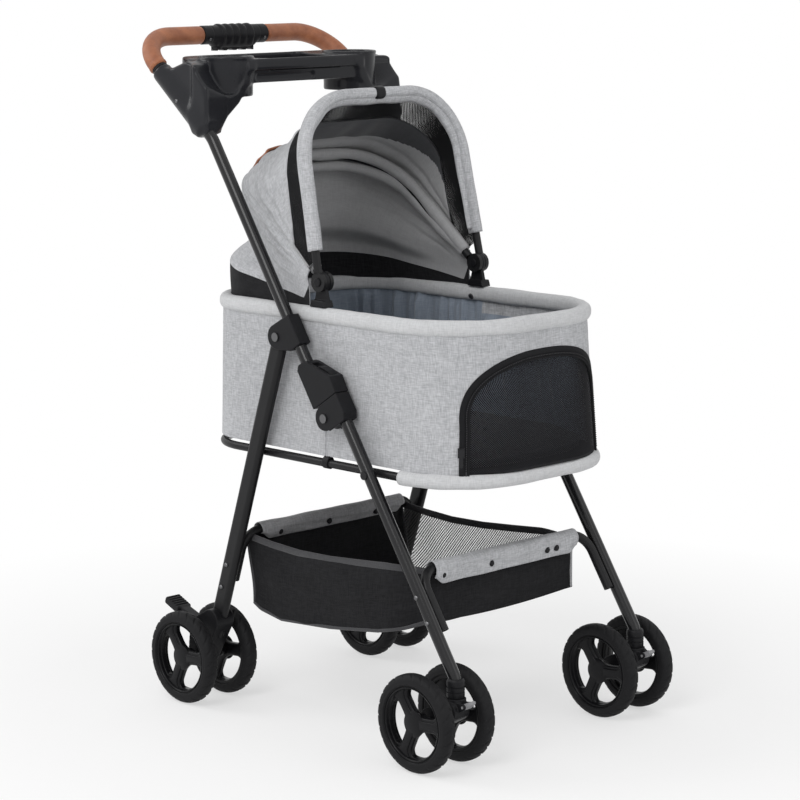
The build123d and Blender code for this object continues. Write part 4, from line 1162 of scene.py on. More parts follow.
def buildCanopyFront():
    # fan of cloth between the bows: a net strip beside the front band, then linen
    count, netColumns = 160, 14
    begin, finish = canopyLook["cover"]
    arch = archCurve(canopyLook["half"], canopyLook["low"], canopyLook["height"], count)
    across, up = arch[:, None, 0], arch[:, None, 1]
    alongArch = np.linspace(0, 1, count)[:, None]
    hang = np.sin(math.pi * alongArch)
    stripWidth = 44.0 + 20.0 * smooth(hang, 0.6, 1.0)
    netEnd = canopyLook["frontLean"] + np.degrees(np.arcsin(np.clip(stripWidth / up, 0, 0.72)))
    netEnd = np.minimum(netEnd, 49.0)
    first, rest = np.linspace(0, 1, netColumns)[None], np.linspace(0, 1, 46)[None][:, 1:]
    lean = np.concatenate([begin + (netEnd - begin) * first, netEnd + (finish - netEnd) * rest], 1)
    t = (lean - begin) / (finish - begin)
    push = -4.0 * np.sin(math.pi * t) * hang
    isNet = np.concatenate([0 * first + 1, 0 * rest], 1)
    wrinkle = 0.9 * ripple(alongArch * 26, t * 5, 61, 1.0, 2.4)
    wrinkle = wrinkle + 0.5 * ripple(alongArch * 60, t * 8, 62, 1.0, 2.0)
    push = push + wrinkle * (1 - 0.6 * isNet)
    for spot, rise in ((0.7, 2.6), (0.86, 4.2)):
        line = spot + 0.025 * np.sin(3.0 * math.pi * alongArch + spot * 9)
        push = push + rise * np.exp(-((t - line) / 0.045) ** 2) * (1 - isNet) * smooth(hang, 0.08, 0.4)
    seam = np.concatenate([0 * first, np.exp(-(rest * (finish - 20) / 2.2) ** 2)], 1)
    step = unitRows(np.gradient(arch, axis=0))
    outX, outY = -step[:, None, 1], step[:, None, 0]
    push = push + 1.3 * seam - canopyLook["sag"] * np.sin(math.pi * t) * np.clip(outY, 0, 1)
    grid = leanPoint(lean, across + push * outX, up + push * outY)
    _, corners = gridFaces(count, lean.shape[1])
    cells = [tuple(c[0]) for c in corners]
    # inside, a band along the top of the arch, widest at the crown, takes the darkened lining: painted shade
    strip = t[:, netColumns - 1:netColumns]
    shade = t < strip + (0.6 - strip) * smooth(hang, 0.3, 0.95)
    outer = [1 if column < netColumns - 1 else 0 for _, column in cells]
    inner = [1 if cell[1] < netColumns - 1 else 3 if shade[cell] else 2 for cell in cells]
    cloths = [linen, canopyNet, shadeCloth, paintedShadeCloth]
    cover = clothMesh("canopyFrontCover", grid, 1.6, cloths, False, False, outer, inner)
    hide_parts("canopy_front")
    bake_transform(cover)


def buildCanopyRear():
    # hangs from the rear bow, drawn in above the rim, then flares out over its black base
    count, columns, blackFrom, blackInside = 160, 56, 41, 44
    begin = 53.0
    arch = archCurve(canopyLook["half"], canopyLook["low"] - 4.0, canopyLook["height"] - 1.0, count)
    across, up = arch[:, None, 0], arch[:, None, 1]
    end = np.degrees(np.arccos(np.clip(-39.0 / up, -1, 1)))
    end = np.minimum(end, 180.0 - np.degrees(np.arcsin(np.clip(22.0 / up, 0, 1))))
    t = np.linspace(0, 1, columns)[None]
    lean = begin + (end - begin) * t
    alongArch = np.linspace(0, 1, count)[:, None]
    hang = np.sin(math.pi * alongArch)
    loose = np.sin(math.pi * t)
    push = 1.4 * ripple(alongArch * 22, t * 4, 71, 1.0, 2.4) * loose
    push = push + 0.7 * ripple(alongArch * 50, t * 7, 72, 1.0, 2.0) * loose
    tuck = smooth(t, 0.1, 0.52) * (1 - smooth(t, 0.56, 0.73))
    push = push - canopyLook["tuck"] * tuck * smooth(hang, 0.2, 0.75)
    where = smooth(hang, 0.05, 0.35) * (1 - 0.8 * smooth(hang, 0.85, 0.97))
    for spot, rise in ((0.09, 5.0), (0.22, 4.2), (0.37, 2.6)):
        line = spot + 0.03 * np.sin(4 * math.pi * alongArch + spot * 20)
        push = push + rise * np.exp(-((t - line) / 0.036) ** 2) * where
    step = unitRows(np.gradient(arch, axis=0))
    grid = leanPoint(lean, across - push * step[:, None, 1], up + push * step[:, None, 0])
    _, corners = gridFaces(count, columns)
    outer = [1 if c[0][1] >= blackFrom else 0 for c in corners]
    inner = [1 if c[0][1] >= blackInside else 2 for c in corners]
    cloths = [linen, blackCloth, shadeCloth]
    cover = clothMesh("canopyRearCover", grid, 1.6, cloths, False, False, outer, inner)
    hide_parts("canopy_rear")
    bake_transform(cover)


def buildBowSleeve():
    arch = archCurve(canopyLook["half"], 45.0, canopyLook["height"], 190)
    route = leanPoint(canopyLook["frontLean"], arch[:, 0], arch[:, 1])
    along = ringLength(route)
    size = 1 + 0.02 * ripple(along / 20, 0 * along, 81, 1.0, 3.0)
    grid = sweepGrid(route, ovalProfile(11.5, 8.2, 28, 2.6), False, leanFace(canopyLook["frontLean"]), size)
    sleeve = tubeMesh("bowSleeveBand", grid, linen)
    place(sleeve, "front_bow", "grey_fabric", "front_bow_sleeve")


def buildBandTrim():
    # narrow flap under the band, and the black clip at its top
    arch = archCurve(canopyLook["half"], 52.0, canopyLook["height"], 170)
    step = unitRows(np.gradient(arch, axis=0))
    out = np.stack([-step[:, 1], step[:, 0]], 1)
    rows, wave = [], 0.8 * ripple(np.linspace(0, 40, 170), 0.0, 85, 1.0, 2.0)[:, None]
    for lean, drop in ((10.2, 6.0), (10.6, 10.0), (11.4, 13.0), (12.6, 15.0)):
        inner = arch - out * (drop + wave)
        rows.append(leanPoint(lean, inner[:, 0], inner[:, 1]))
    flap = clothMesh("bandFlap", np.stack(rows, 1), 1.0, [linen])
    place(flap, "front_bow", "grey_fabric")
    half, lean = 9.0, canopyLook["frontLean"]
    y = np.linspace(-half, half, 13)
    route = leanPoint(lean, y, np.full(13, canopyLook["height"]))
    size = 1.02 - 0.12 * (np.abs(y) / half) ** 6
    grid = sweepGrid(route, ovalProfile(13.2, 9.8, 32, 2.8), False, leanFace(lean), size)
    clip = tubeMesh("bandClip", grid, blackPlastic, False, None, 40)
    place(clip, "front_bow", "black_plastic")


def buildGather():
    # the lining gathered round the rear bow: two soft ridges side by side
    for name, lean, lift, big in (("gatherUpper", 49.4, 249.5, 9.0), ("gatherLower", 54.8, 247.0, 8.2)):
        arch = archCurve(canopyLook["half"] - 12.8, 26.0, lift, 170)
        wander = 1.6 * ripple(np.linspace(0, 12, 170), 0.0, 95 + int(lean), 1.0, 2.0)
        route = leanPoint(lean + wander * 0.5, arch[:, 0], arch[:, 1])
        along = ringLength(route)
        size = 1 + 0.09 * ripple(along / 26, 0 * along, 96 + int(lean), 1.0, 3.0)
        grid = sweepGrid(route, ovalProfile(big, 7.6, 22, 2.0), False, leanFace(lean), size)
        roll = tubeMesh(name, grid, shadeCloth)
        place(roll, "rear_bow", "grey_fabric")


strapLook = {"half": 92.0, "lean": (47.0, 60.0), "above": 3.8, "thick": 3.2, "thread": 0.9,
             "rayFrom": 340.0, "rayReach": 200.0, "noHit": 110.0}


def buildStrap():
    # carry strap lying on the cloth along the top of the rear bow, stitched round its edge
    bpy.context.view_layer.update()
    ready = bpy.context.evaluated_depsgraph_get()
    names = ("canopyFrontCover", "canopyRearCover")
    covers = [BVHTree.FromObject(bpy.data.objects[name], ready) for name in names]
    axis = np.array([canopyLook["x"], 0, canopyLook["z"]])
    far, reach = strapLook["rayFrom"], strapLook["rayReach"]
    low, high = strapLook["lean"]
    y, turn = np.linspace(-strapLook["half"], strapLook["half"], 84), np.linspace(low, high, 24)
    away = np.stack([-np.sin(np.radians(turn)), 0 * turn, np.cos(np.radians(turn))], 1)
    cloth = np.zeros((len(turn), len(y)))
    for i, ray in enumerate(away):
        for j, across in enumerate(y):
            start = Vector((axis + [0, across, 0]) * mm) + Vector(ray) * far * mm
            hits = [cover.ray_cast(start, -Vector(ray), reach * mm)[3] for cover in covers]
            depths = [hit / mm for hit in hits if hit is not None]
            cloth[i, j] = far - min(depths, default=strapLook["noHit"])
    rise = cloth
    for _ in range(6):
        wide = np.pad(rise, 1, mode="edge")
        rise = (wide[:-2, 1:-1] + wide[2:, 1:-1] + wide[1:-1, :-2] + wide[1:-1, 2:] + 2 * rise) / 6
        rise = np.maximum(rise, cloth)
    edge = (np.abs(turn - (low + high) / 2) / ((high - low) / 2))[:, None]
    dent = 0.6 * np.exp(-((edge - 0.7) / 0.06) ** 2)  # the stitched line lies a little lower
    rise = rise + strapLook["above"] - 1.4 * smooth(edge, 0.82, 1.0) - dent
    grid = axis + away[:, None] * rise[..., None] + np.stack([0 * y, y, 0 * y], 1)[None]
    strap = clothMesh("carryStrap", grid, strapLook["thick"], [leather])
    place(strap, "rear_bow", "brown_leather", "carry_strap")
    rows, columns = (4, len(turn) - 5), (3, len(y) - 4)
    spots = [(i, j) for i in rows for j in range(columns[0], columns[1] + 1, 2)]
    spots += [(i, j) for j in columns for i in range(rows[0] + 2, rows[1], 2)]
    points, facing = [grid[spot] for spot in spots], [away[i] for i, _ in spots]
    repeatShape("strapStitch", points, facing, "rear_bow", "brown_leather", strapThread,
                strapLook["thread"], strapLook["thread"], 8)


buildCanopyFront()
buildCanopyRear()
buildBowSleeve()
buildBandTrim()
buildGather()
buildStrap()
print("canopy built")

# basket

# rearEnd and frontEnd are the low and high ends of the corner piping
basketLook = {"half": 160.0, "rear": -127.0, "front": 231.0, "frontHalf": 148.0, "lean": 13.0,
              "panelTop": 262.0, "rearEnd": (156.0, 258.0), "frontEnd": (188.0, 262.0), "netFrom": 2.06}


def basketTop(x):
    return np.interp(x, [-127, -80, -24, 40, 100, 160, 231], [259, 253.5, 250, 251.5, 256, 261, 262])


def basketLow(x):
    return np.interp(x, [-127, -112, -66, 40, 140, 190, 231], [156, 148, 140, 147, 160, 172, 188])


def basketReach(t):
    # half width, narrower towards the front
    return basketLook["half"] - (basketLook["half"] - basketLook["frontHalf"]) * smooth(t, 0.8, 1.0)


def basketSlant(z):
    # how far the rear leans back at a height
    return -basketLook["lean"] * smooth(z, 170, 258)


def settle(piece, *stands):
    place(piece, "rear_frame", "basket_fabric", *stands)
    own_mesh(piece)


def buildBasketBody():
    rear, front = basketLook["rear"], basketLook["front"]
    x = np.linspace(rear, front, 76)[:, None]
    t = (x - rear) / (front - rear)
    top, low = basketTop(x), basketLow(x)
    # across: down the right side, over the floor, up the left side
    v = np.linspace(0, 3, 150)[None]
    down, over, up = np.clip(v, 0, 1), np.clip(v - 1, 0, 1), np.clip(v - 2, 0, 1)
    side = np.where(v < 1, 1.0, 0.0) + np.where(v > 2, 1.0, 0.0)
    y = basketReach(t) * (-1 + 2 * over)
    z = top + (low - top) * (down - up)
    bulge = 5.0 * np.sin(math.pi * (down - up)) * np.sin(math.pi * t)
    slack = 1.3 * ripple(x / 38, v * 5.0, 91, 1.0, 2.6) + 0.6 * ripple(x / 14, v * 9.0, 92, 1.0, 2.0)
    belly = -7.0 * np.sin(math.pi * over) * np.sin(math.pi * t)
    y = y + np.sign(y) * bulge * side + slack * side * np.clip(4 * (down - up), 0, 1)
    z = z + belly + slack * (1 - side) * np.sin(math.pi * over)
    grid = np.stack([x + basketSlant(z) * (1 - t) ** 4, y, z], -1)
    _, corners = gridFaces(*grid.shape[:2])
    net = [1 if v[0, c[0][1]] >= basketLook["netFrom"] else 0 for c in corners]
    body = clothMesh("basketBody", grid, 1.2, [blackCloth, basketNet], False, False, net, net)
    settle(body, "basket")


def buildBasketPanels():
    half, top = basketLook["half"], basketLook["panelTop"]
    y = np.linspace(-half + 1, half - 1, 60)[:, None]
    v = np.linspace(0, 1, 30)[None]
    ends = (("Rear", basketLook["rear"] + 2, half, -4.0, 93),
            ("Front", basketLook["front"] - 1, basketLook["frontHalf"], 3.0, 94))
    for label, spot, reach, slack, seed in ends:
        end = label.lower()
        low = basketLook[end + "End"][0]
        wide = y * reach / half
        bow = np.cos(wide / half * math.pi / 2)
        sag = slack * np.sin(math.pi * v) * bow
        wave = 1.2 * ripple(wide / 40, v * 4, seed, 1.0, 2.4) * np.sin(math.pi * v) ** 0.5
        z = top + (low - top) * v - 6.0 * (v > 0.98) * bow
        slant = basketSlant(z) * smooth(np.abs(wide), 118, 158) if end == "rear" else 0.0
        grid = np.stack([spot + sag + wave + slant, wide + 0 * v, z], -1)
        panel = clothMesh(f"basket{label}Panel", grid, 1.2, [blackCloth])
        settle(panel)


def basketPiping(name, route, profile, side, material):
    settle(tubeMesh(name, sweepGrid(route, profile, False, side), material))


def buildBasketEdges():
    rear, front = basketLook["rear"], basketLook["front"]
    ends = (("rear", rear + 1, basketLook["half"]), ("front", front - 1, basketLook["frontHalf"]))
    x = np.linspace(rear, front, 60)
    t = (x - rear) / (front - rear)
    reach = basketReach(t)
    back = -basketLook["lean"] * (1 - t) ** 4
    for name, sign in sides.items():
        route = np.stack([x + back, sign * reach, basketTop(x) - 2.0], 1)
        # edge and hem piping in the lighter binding cloth: a painted sheen
        basketPiping(f"basketEdge.{name}", route, ovalProfile(2.4, 5.4, 16, 2.4), (0, 1, 0), paintedSheenBinding)
        route = np.stack([x, sign * (reach + 0.8), basketLow(x) + 1.5], 1)
        basketPiping(f"basketHem.{name}", route, ovalProfile(2.0, 2.6, 14), (0, 1, 0), paintedSheenBinding)
        for end, spot, wide in ends:
            low, high = basketLook[end + "End"]
            z = np.linspace(high, low, 14)
            slant = basketSlant(z) if end == "rear" else 0.0
            route = np.stack([np.full(14, spot) + slant, np.full(14, sign * wide), z], 1)
            # rear corners and the right front corner take the binding cloth with its painted sheen
            # the left front corner takes the grey cloth in its own grey
            material = paintedSheenBinding if end == "rear" or sign < 0 else greyClothAndShade
            basketPiping(f"basketCorner.{end}.{name}", route, ovalProfile(2.6, 2.6, 12), (1, 0, 0), material)


wrapLook = {"rear": -130.0, "front": 235.3, "z": 266.0, "radius": 9.4, "half": 147.0, "snap": 4.6,
            "rearSnaps": (-111.0, -11.0, 87.0), "frontSnaps": (-132.0, -35.0, 82.0, 102.0)}


def buildTubeWraps():
    # cloth wrapped over each cross tube, its front edge hanging down and snapped shut
    # the rear wrap's darker grey is painted shade; the front wrap is linen
    for name, material, drop in (("rear", greyClothAndShade, 12.0), ("front", linen, 20.0)):
        x, half = wrapLook[name], wrapLook["half"]
        y = np.linspace(-half, half, 90)[:, None]
        angle = np.radians(np.linspace(-215, 15, 28))[None]
        r = wrapLook["radius"] + 0.6 * ripple(y / 16, angle * 2, 101, 1.0, 2.4)
        around = np.stack([x + r * np.cos(angle), y + 0 * angle, wrapLook["z"] - r * np.sin(angle)], -1)
        tail = np.linspace(0, 1, 13)[None][:, 1:]
        length = drop - 10.0 * smooth(np.abs(y), half - 16, half)
        wave = 0.8 * ripple(y / 20, tail * 3, 102, 1.0, 2.0)
        last = around[:, -1]
        hang = np.stack([last[:, :1] - 3.0 * tail + wave, y + 0 * tail, last[:, 2:] - length * tail], -1)
        wrap = clothMesh(f"tubeWrap.{name}", np.concatenate([around, hang], 1), 1.2, [material])
        place(wrap, f"{name}_frame", "grey_fabric")
        snapX, snapZ = x + wrapLook["radius"] - 1.2, wrapLook["z"] - 3.0 - 0.35 * drop
        points = [(snapX, spot, snapZ) for spot in wrapLook[name + "Snaps"]]
        repeatShape(f"wrapSnaps.{name}", points, [(1, 0, 0)] * len(points), f"{name}_frame", "black_plastic",
                    blackPlastic, wrapLook["snap"], 3.0, 20)


buildBasketBody()
buildBasketPanels()
buildBasketEdges()
buildTubeWraps()
print("basket built")

# handle

handleLook = {"bend": (-171.63, 849.0), "bar": (-342.0, 991.0), "y": 188.0, "corner": 62.0, "grip": 13.8,
              "gripStart": 153.8, "centre": 63.7, "collar": 12.4, "thread": 0.9}


def buildGrips():
    bend, bar = (np.array([p[0], 0, p[1]]) for p in (handleLook["bend"], handleLook["bar"]))
    way = (bar - bend) / np.linalg.norm(bar - bend)
    grip, collar, thread = (handleLook[key] for key in ("grip", "collar", "thread"))
    for side, sign in sides.items():
        shift = np.array([0, sign * handleLook["y"], 0])
        first = bend + way * handleLook["gripStart"] + shift
        last = bar + [0, sign * (handleLook["centre"] + 0.8), 0]
        route = roundedRoute([first, bar + shift, last], [handleLook["corner"]], 2.0)
        along = ringLength(route)
        tail = along[-1] - along
        size = 1 - 0.12 * np.exp(-along / 1.2) - 0.12 * np.exp(-tail / 1.2)
        size = size + 0.05 * np.exp(-((along - 4) / 2.5) ** 2) - 0.03 * np.exp(-((along - 9) / 1.2) ** 2)
        size = size + 0.006 * ripple(along / 20, 0 * along, 111, 1.0, 2.0)
        grid = sweepGrid(route, ovalProfile(grip, grip, 40), False, (0, 0, 1), size)
        wrap = tubeMesh(f"gripWrap.{side}", grid, leather, False, None, 60)
        place(wrap, "handle_frame", "brown_leather", f"grip_{side}")
        up, _ = framesAlong(route)
        seam = range(4, len(route) - 3, 2)
        under = [route[k] - up[k] * grip * 0.99 for k in seam]
        repeatShape(f"gripStitch.{side}", under, [-up[k] for k in seam], "handle_frame", "brown_leather",
                    leather, thread, thread, 8)
        stops = np.stack([first - way * (d + 0.3) for d in np.linspace(0.0, 5.2, 7)])
        swell = [0.94, 1.0, 1.0, 0.96, 1.0, 1.0, 0.94]
        grid = sweepGrid(stops, ovalProfile(collar, collar, 36), False, (0, 1, 0), swell)
        ring = tubeMesh(f"gripCollar.{side}", grid, blackPlastic, False, None, 40)
        place(ring, "handle_frame", "black_plastic")


housingLook = {"radius": 14.4, "raised": 2.2, "scallop": 2.6, "middle": 31.0, "belly": 5.0}


def buildHousing():
    # centre sleeve with finger scallops on its front and a belly over the trigger
    half, (barX, barZ), chamfer = handleLook["centre"], handleLook["bar"], 1.6
    y = np.linspace(-half, half, 150)[:, None]
    angle = fullTurn(72)[None]
    lift = smooth(-np.abs(y), -housingLook["middle"] - 2.5, -housingLook["middle"] + 1.0)
    r = housingLook["radius"] + housingLook["raised"] * lift + 0 * angle
    r = r - chamfer * smooth(np.abs(y), half - chamfer, half)
    face = smooth(np.cos(angle - math.radians(35)), 0.05, 0.6)
    dips = sum(np.exp(-((y - spot) / 3.6) ** 2) for spot in (-21.0, -7.0, 7.0, 21.0))
    groove = np.exp(-((np.abs(y) - 47) / 0.9) ** 2)
    r = r - housingLook["scallop"] * dips * face * lift - 0.6 * groove
    below = smooth(-np.sin(angle), 0.35, 0.9) * smooth(-np.abs(y), -46, -37)
    x, z = barX + r * np.cos(angle), barZ + r * np.sin(angle) - housingLook["belly"] * below
    grid = np.stack([x, y + 0 * angle, z], -1)
    housing = tubeMesh("triggerSleeve", grid, blackPlastic, False, None, 50)
    place(housing, "handle_frame", "black_plastic", "trigger_housing")
    facing, reach = leanFace(-25), housingLook["radius"] + 0.1
    points = [np.array([barX, spot, barZ]) + facing * reach for spot in (-55.0, 55.0)]
    repeatShape("sleeveScrews", points, [facing] * 2, "handle_frame", "pin_steel", pinSteel, 2.4, 1.0, 12)


buildGrips()
buildHousing()
print("handle built")

# moulded pieces: the plain solid, welded, re-meshed and eased so that its edges are rounded


def mouldedCopy(name, label, body, voxel, ease, reach=None):
    source = nodes[name]
    obj = bpy.data.objects.new(label, source.data.copy())
    obj.data.materials.clear()
    obj.data.materials.append(blackPlastic)
    bpy.context.scene.collection.objects.link(obj)
    obj.data.transform(source.matrix_world)
    work = bmesh.new()
    work.from_mesh(obj.data)
    bmesh.ops.remove_doubles(work, verts=work.verts, dist=0.00002)
    work.to_mesh(obj.data)
    work.free()
    remesh = obj.modifiers.new("remesh", "REMESH")
    remesh.mode, remesh.voxel_size, remesh.use_smooth_shade = "VOXEL", voxel * mm, True
    smoothing = obj.modifiers.new("ease", "SMOOTH")
    smoothing.factor, smoothing.iterations = 0.5, ease
    made = evaluatedMesh(obj)
    obj.modifiers.clear()
    obj.data = made
    if reach:
        for point in made.vertices:
            point.co.y = min(max(point.co.y, reach[0] * mm), reach[1] * mm)
    made.polygons.foreach_set("use_smooth", np.ones(len(made.polygons), bool))
    if not made.materials:
        made.materials.append(blackPlastic)
    place(obj, body, "black_plastic", name)


def buildMoulded():
    owners = {"latch_upper": "handle_frame", "latch_lower": "front_frame", "leg_bracket": "handle_frame"}
    blockHalf = 43.0  # forks and rear blocks end here, on each side of the middle of a pair of wheels
    for side, sign in sides.items():
        for name, body in owners.items():
            mouldedCopy(f"{name}_{side}", f"{name}.moulded.{side}", body, 0.8, 7)
        ends = (sign * pairY - blockHalf, sign * pairY + blockHalf)
        mouldedCopy(f"caster_fork_{side}", f"casterFork.{side}", f"caster_{side}", 0.9, 5, ends)
        mouldedCopy(f"rear_block_{side}", f"rearBlock.{side}", "rear_frame", 0.9, 5, ends)
    mouldedCopy("canopy_knuckles", "canopyKnuckles", "carrier", 0.8, 4)


# parent tray: distances to its forms are joined softly on a grid and the zero surface is meshed


def softMin(a, b, blend):
    share = np.clip(0.5 + 0.5 * (b - a) / blend, 0, 1)
    return b + (a - b) * share - blend * share * (1 - share)


def softMax(a, b, blend):
    return -softMin(-a, -b, blend)


def between(value, low, high):
    return np.maximum(low - value, value - high)


def roundedPlan(u, v, halfU, halfV, corner):
    u, v = np.abs(u) - halfU + corner, np.abs(v) - halfV + corner
    return np.hypot(np.maximum(u, 0), np.maximum(v, 0)) + np.minimum(np.maximum(u, v), 0) - corner


def polygonField(u, v, points):
    # signed distance in a plane, negative inside
    nearest, sign = np.full(u.shape, 1e9), np.ones(u.shape)
    for (au, av), (bu, bv) in zip(points, points[-1:] + points[:-1]):
        eu, ev, wu, wv = bu - au, bv - av, u - au, v - av
        share = np.clip((wu * eu + wv * ev) / (eu * eu + ev * ev), 0, 1)
        nearest = np.minimum(nearest, np.hypot(wu - eu * share, wv - ev * share))
        above, below, turn = v >= av, v < bv, eu * wv > ev * wu
        sign = np.where((above & below & turn) | (~above & ~below & ~turn), -sign, sign)
    return nearest * sign


def surfaceNet(field, start, step):
    shape = np.array(field.shape)
    inside = field < 0
    corner = [(i, j, k) for i in (0, 1) for j in (0, 1) for k in (0, 1)]
    part = {c: tuple(slice(c[a], shape[a] - 1 + c[a]) for a in range(3)) for c in corner}
    total = sum(inside[part[c]].astype(np.int8) for c in corner)
    cell = np.argwhere((total > 0) & (total < 8))
    index = np.full(shape - 1, -1)
    index[tuple(cell.T)] = np.arange(len(cell))
    spot, hits = np.zeros((len(cell), 3)), np.zeros(len(cell))
    for axis in range(3):
        for first in (c for c in corner if c[axis] == 0):
            last = tuple(1 if a == axis else first[a] for a in range(3))
            f0, f1 = (field[tuple((cell + end).T)] for end in (first, last))
            cross = (f0 < 0) != (f1 < 0)
            share = np.where(cross, f0 / np.where(cross, f0 - f1, 1), 0)
            for a in range(3):
                spot[:, a] += cross * (share if a == axis else first[a])
            hits += cross
    points = start + step * (cell + spot / hits[:, None])
    faces = []
    for axis in range(3):
        b, c = (axis + 1) % 3, (axis + 2) % 3
        low, high = [slice(1, -1)] * 3, [slice(1, -1)] * 3
        low[axis], high[axis] = slice(0, -1), slice(1, None)
        leave = inside[tuple(low)] & ~inside[tuple(high)]
        enter = ~inside[tuple(low)] & inside[tuple(high)]
        for mask, flip in ((leave, False), (enter, True)):
            edge = np.argwhere(mask)
            edge[:, b] += 1
            edge[:, c] += 1
            ring = []
            for db, dc in ((-1, -1), (0, -1), (0, 0), (-1, 0)):
                at = edge.copy()
                at[:, b] += db
                at[:, c] += dc
                ring.append(index[tuple(at.T)])
            quad = np.stack(ring[::-1] if flip else ring, 1)
            faces.append(quad)
    return points, np.concatenate(faces)


trayLook = {"middle": -230.6, "half": (59.0, 166.0), "corner": 41.0, "low": 925.0, "rail": 944.0,
            "top": 961.0, "floor": 943.0, "cup": (-212.6, 125.0), "cupRadius": 41.0, "cupLow": 906.0,
            "cupTop": 964.0, "well": 37.2, "grid": 1.8, "window": (34.0, 42.0), "screw": (-234.6, 901.5),
            "socket": ((-185.4, 860.5), (-285.1, 943.5)), "socketY": 188.0, "socketRadius": 14.6}


def trayField(x, y, z):
    look = trayLook
    side = np.abs(y)
    plan = roundedPlan(x - look["middle"], y, *look["half"], look["corner"])
    top = look["top"] + 2.5 * smooth(-x, 252, 284)
    rail = softMax(plan, between(z, look["rail"], top), 3.5)
    fascia = softMax(plan + 5.0, between(z, look["low"], look["rail"] + 6), 3.0)
    slot = np.maximum(roundedPlan(y + 39, z - 933, 58, 5.6, 5.5), -179.4 - x)
    tray = softMin(rail, softMax(fascia, -slot, 1.5), 3.5)
    wing = [(-196, 854), (-176, 854), (-178, 906), (-200, 954), (-226, 960), (-262, 948), (-286, 932)]
    wing = softMax(polygonField(x, z, wing) + 6, between(side, 170, 188), 5) - 5
    (ax, az), (bx, bz) = look["socket"]
    length = math.hypot(bx - ax, bz - az)
    along = ((x - ax) * (bx - ax) + (z - az) * (bz - az)) / length
    offX, offZ = x - ax - along * (bx - ax) / length, z - az - along * (bz - az) / length
    away = np.hypot(np.hypot(offX, offZ), side - look["socketY"])
    socket = softMax(away - look["socketRadius"], between(along, 0, length), 3)
    gusset = [(196, 858), (180, 858), (132, 898), (112, 926), (106, 951), (196, 951)]
    gusset = softMax(polygonField(side, z, gusset) + 3, between(x, -200, -177), 6) - 4
    body = softMin(softMin(wing, socket, 11), gusset, 12)
    body = softMin(body, tray, 9)
    cupX, cupY = look["cup"]
    radial = np.hypot(x - cupX, side - cupY)
    angle = np.degrees(np.arctan2(side - cupY, x - cupX))
    middle, wide = look["window"]
    opening = wide * np.sqrt(np.clip((z - 910) / 34, 0, 1))
    window = np.maximum(np.radians(np.abs(angle - middle) - opening) * 50, 911 - z)
    body = softMax(body, -np.maximum(window, 36 - radial), 5)
    flare = 1.4 * smooth(look["cupTop"] - z, 0, 50)
    cup = softMax(radial - look["cupRadius"] + flare, between(z, look["cupLow"], look["cupTop"]), 3)
    lip = np.hypot(radial - look["cupRadius"] + 1.6, z - look["cupTop"] + 1.0) - 2.6
    body = softMin(body, softMin(cup, lip, 1.5), 2.5)
    recess = softMax(roundedPlan(x - look["middle"], y, 54, 80, 14), look["floor"] - z, 4)
    body = softMax(body, -recess, 2.5)
    hollow = softMax(plan + 11, between(z, 880, look["floor"] - 5), 2)
    under = softMax(hollow, softMax(side - 112, 46 - radial, 3), 3)
    body = softMax(body, -under, 2)
    return softMax(body, -softMax(radial - look["well"], look["cupLow"] + 4.5 - z, 4), 1.5)


def buildTray():
    step = trayLook["grid"]
    x, y, z = (np.arange(low, high, step) for low, high in ((-304, -160), (-207, 207 + step), (840, 974)))
    y = y - (y[0] + y[-1]) / 2
    field = trayField(x[:, None, None], y[None, :, None], z[None, None])
    points, faces = surfaceNet(field, np.array([x[0], y[0], z[0]]), step)
    tray = addMesh("parentTray", points, faces.tolist(), trayPlastic)
    place(tray, "handle_frame", "black_plastic", "parent_tray")
    (screwX, screwZ), face = trayLook["screw"], trayLook["socketY"] + trayLook["socketRadius"] - 0.6
    screws = [(screwX, sign * face, screwZ) for sign in sides.values()]
    facing = [(0, sign, 0) for sign in sides.values()]
    repeatShape("traySockets", screws, facing, "handle_frame", "pin_steel", pinSteel, 3.0, 2.0, 16)


pedalLook = {"pivot": (-214.0, 116.0), "neck": (-254.0, 129.5), "barrel": 7.5, "pad": (-270.0, 137.5),
             "slope": (-0.919, 0.394), "half": 13.0, "length": 16.5, "low": -8.5, "high": 3.4,
             "ribs": (-10.5, -5.2, 0.1, 5.4, 10.7), "grid": 0.8}


def pedalField(x, y, z):
    # slim arm from the pivot to a thick foot pad with grooves across its top
    look = pedalLook
    (px, pz), (nx, nz), (cx, cz), (dx, dz) = (look[key] for key in ("pivot", "neck", "pad", "slope"))
    barrel = np.maximum(np.hypot(x - px, z - pz) - look["barrel"], np.abs(y) - look["half"])
    share = np.clip(((x - px) * (nx - px) + (z - pz) * (nz - pz)) / ((nx - px) ** 2 + (nz - pz) ** 2), 0, 1)
    arm = np.hypot(x - px - share * (nx - px), z - pz - share * (nz - pz)) - 4.2
    arm = softMax(arm, np.abs(y) - 8.5, 1.5)
    along, up = (x - cx) * dx + (z - cz) * dz, (x - cx) * dz - (z - cz) * dx
    middle, deep = (look["low"] + look["high"]) / 2, (look["high"] - look["low"]) / 2
    pad = roundedPlan(along, up - middle, look["length"], deep, 4.0) + 0 * y
    pad = softMax(pad, np.abs(y) - look["half"], 2.2)
    for spot in look["ribs"]:
        pad = softMax(pad, 1.5 - np.hypot(along - spot, up - look["high"] - 0.2), 0.5)
    return softMin(softMin(barrel, arm, 3.0), pad, 3.5)


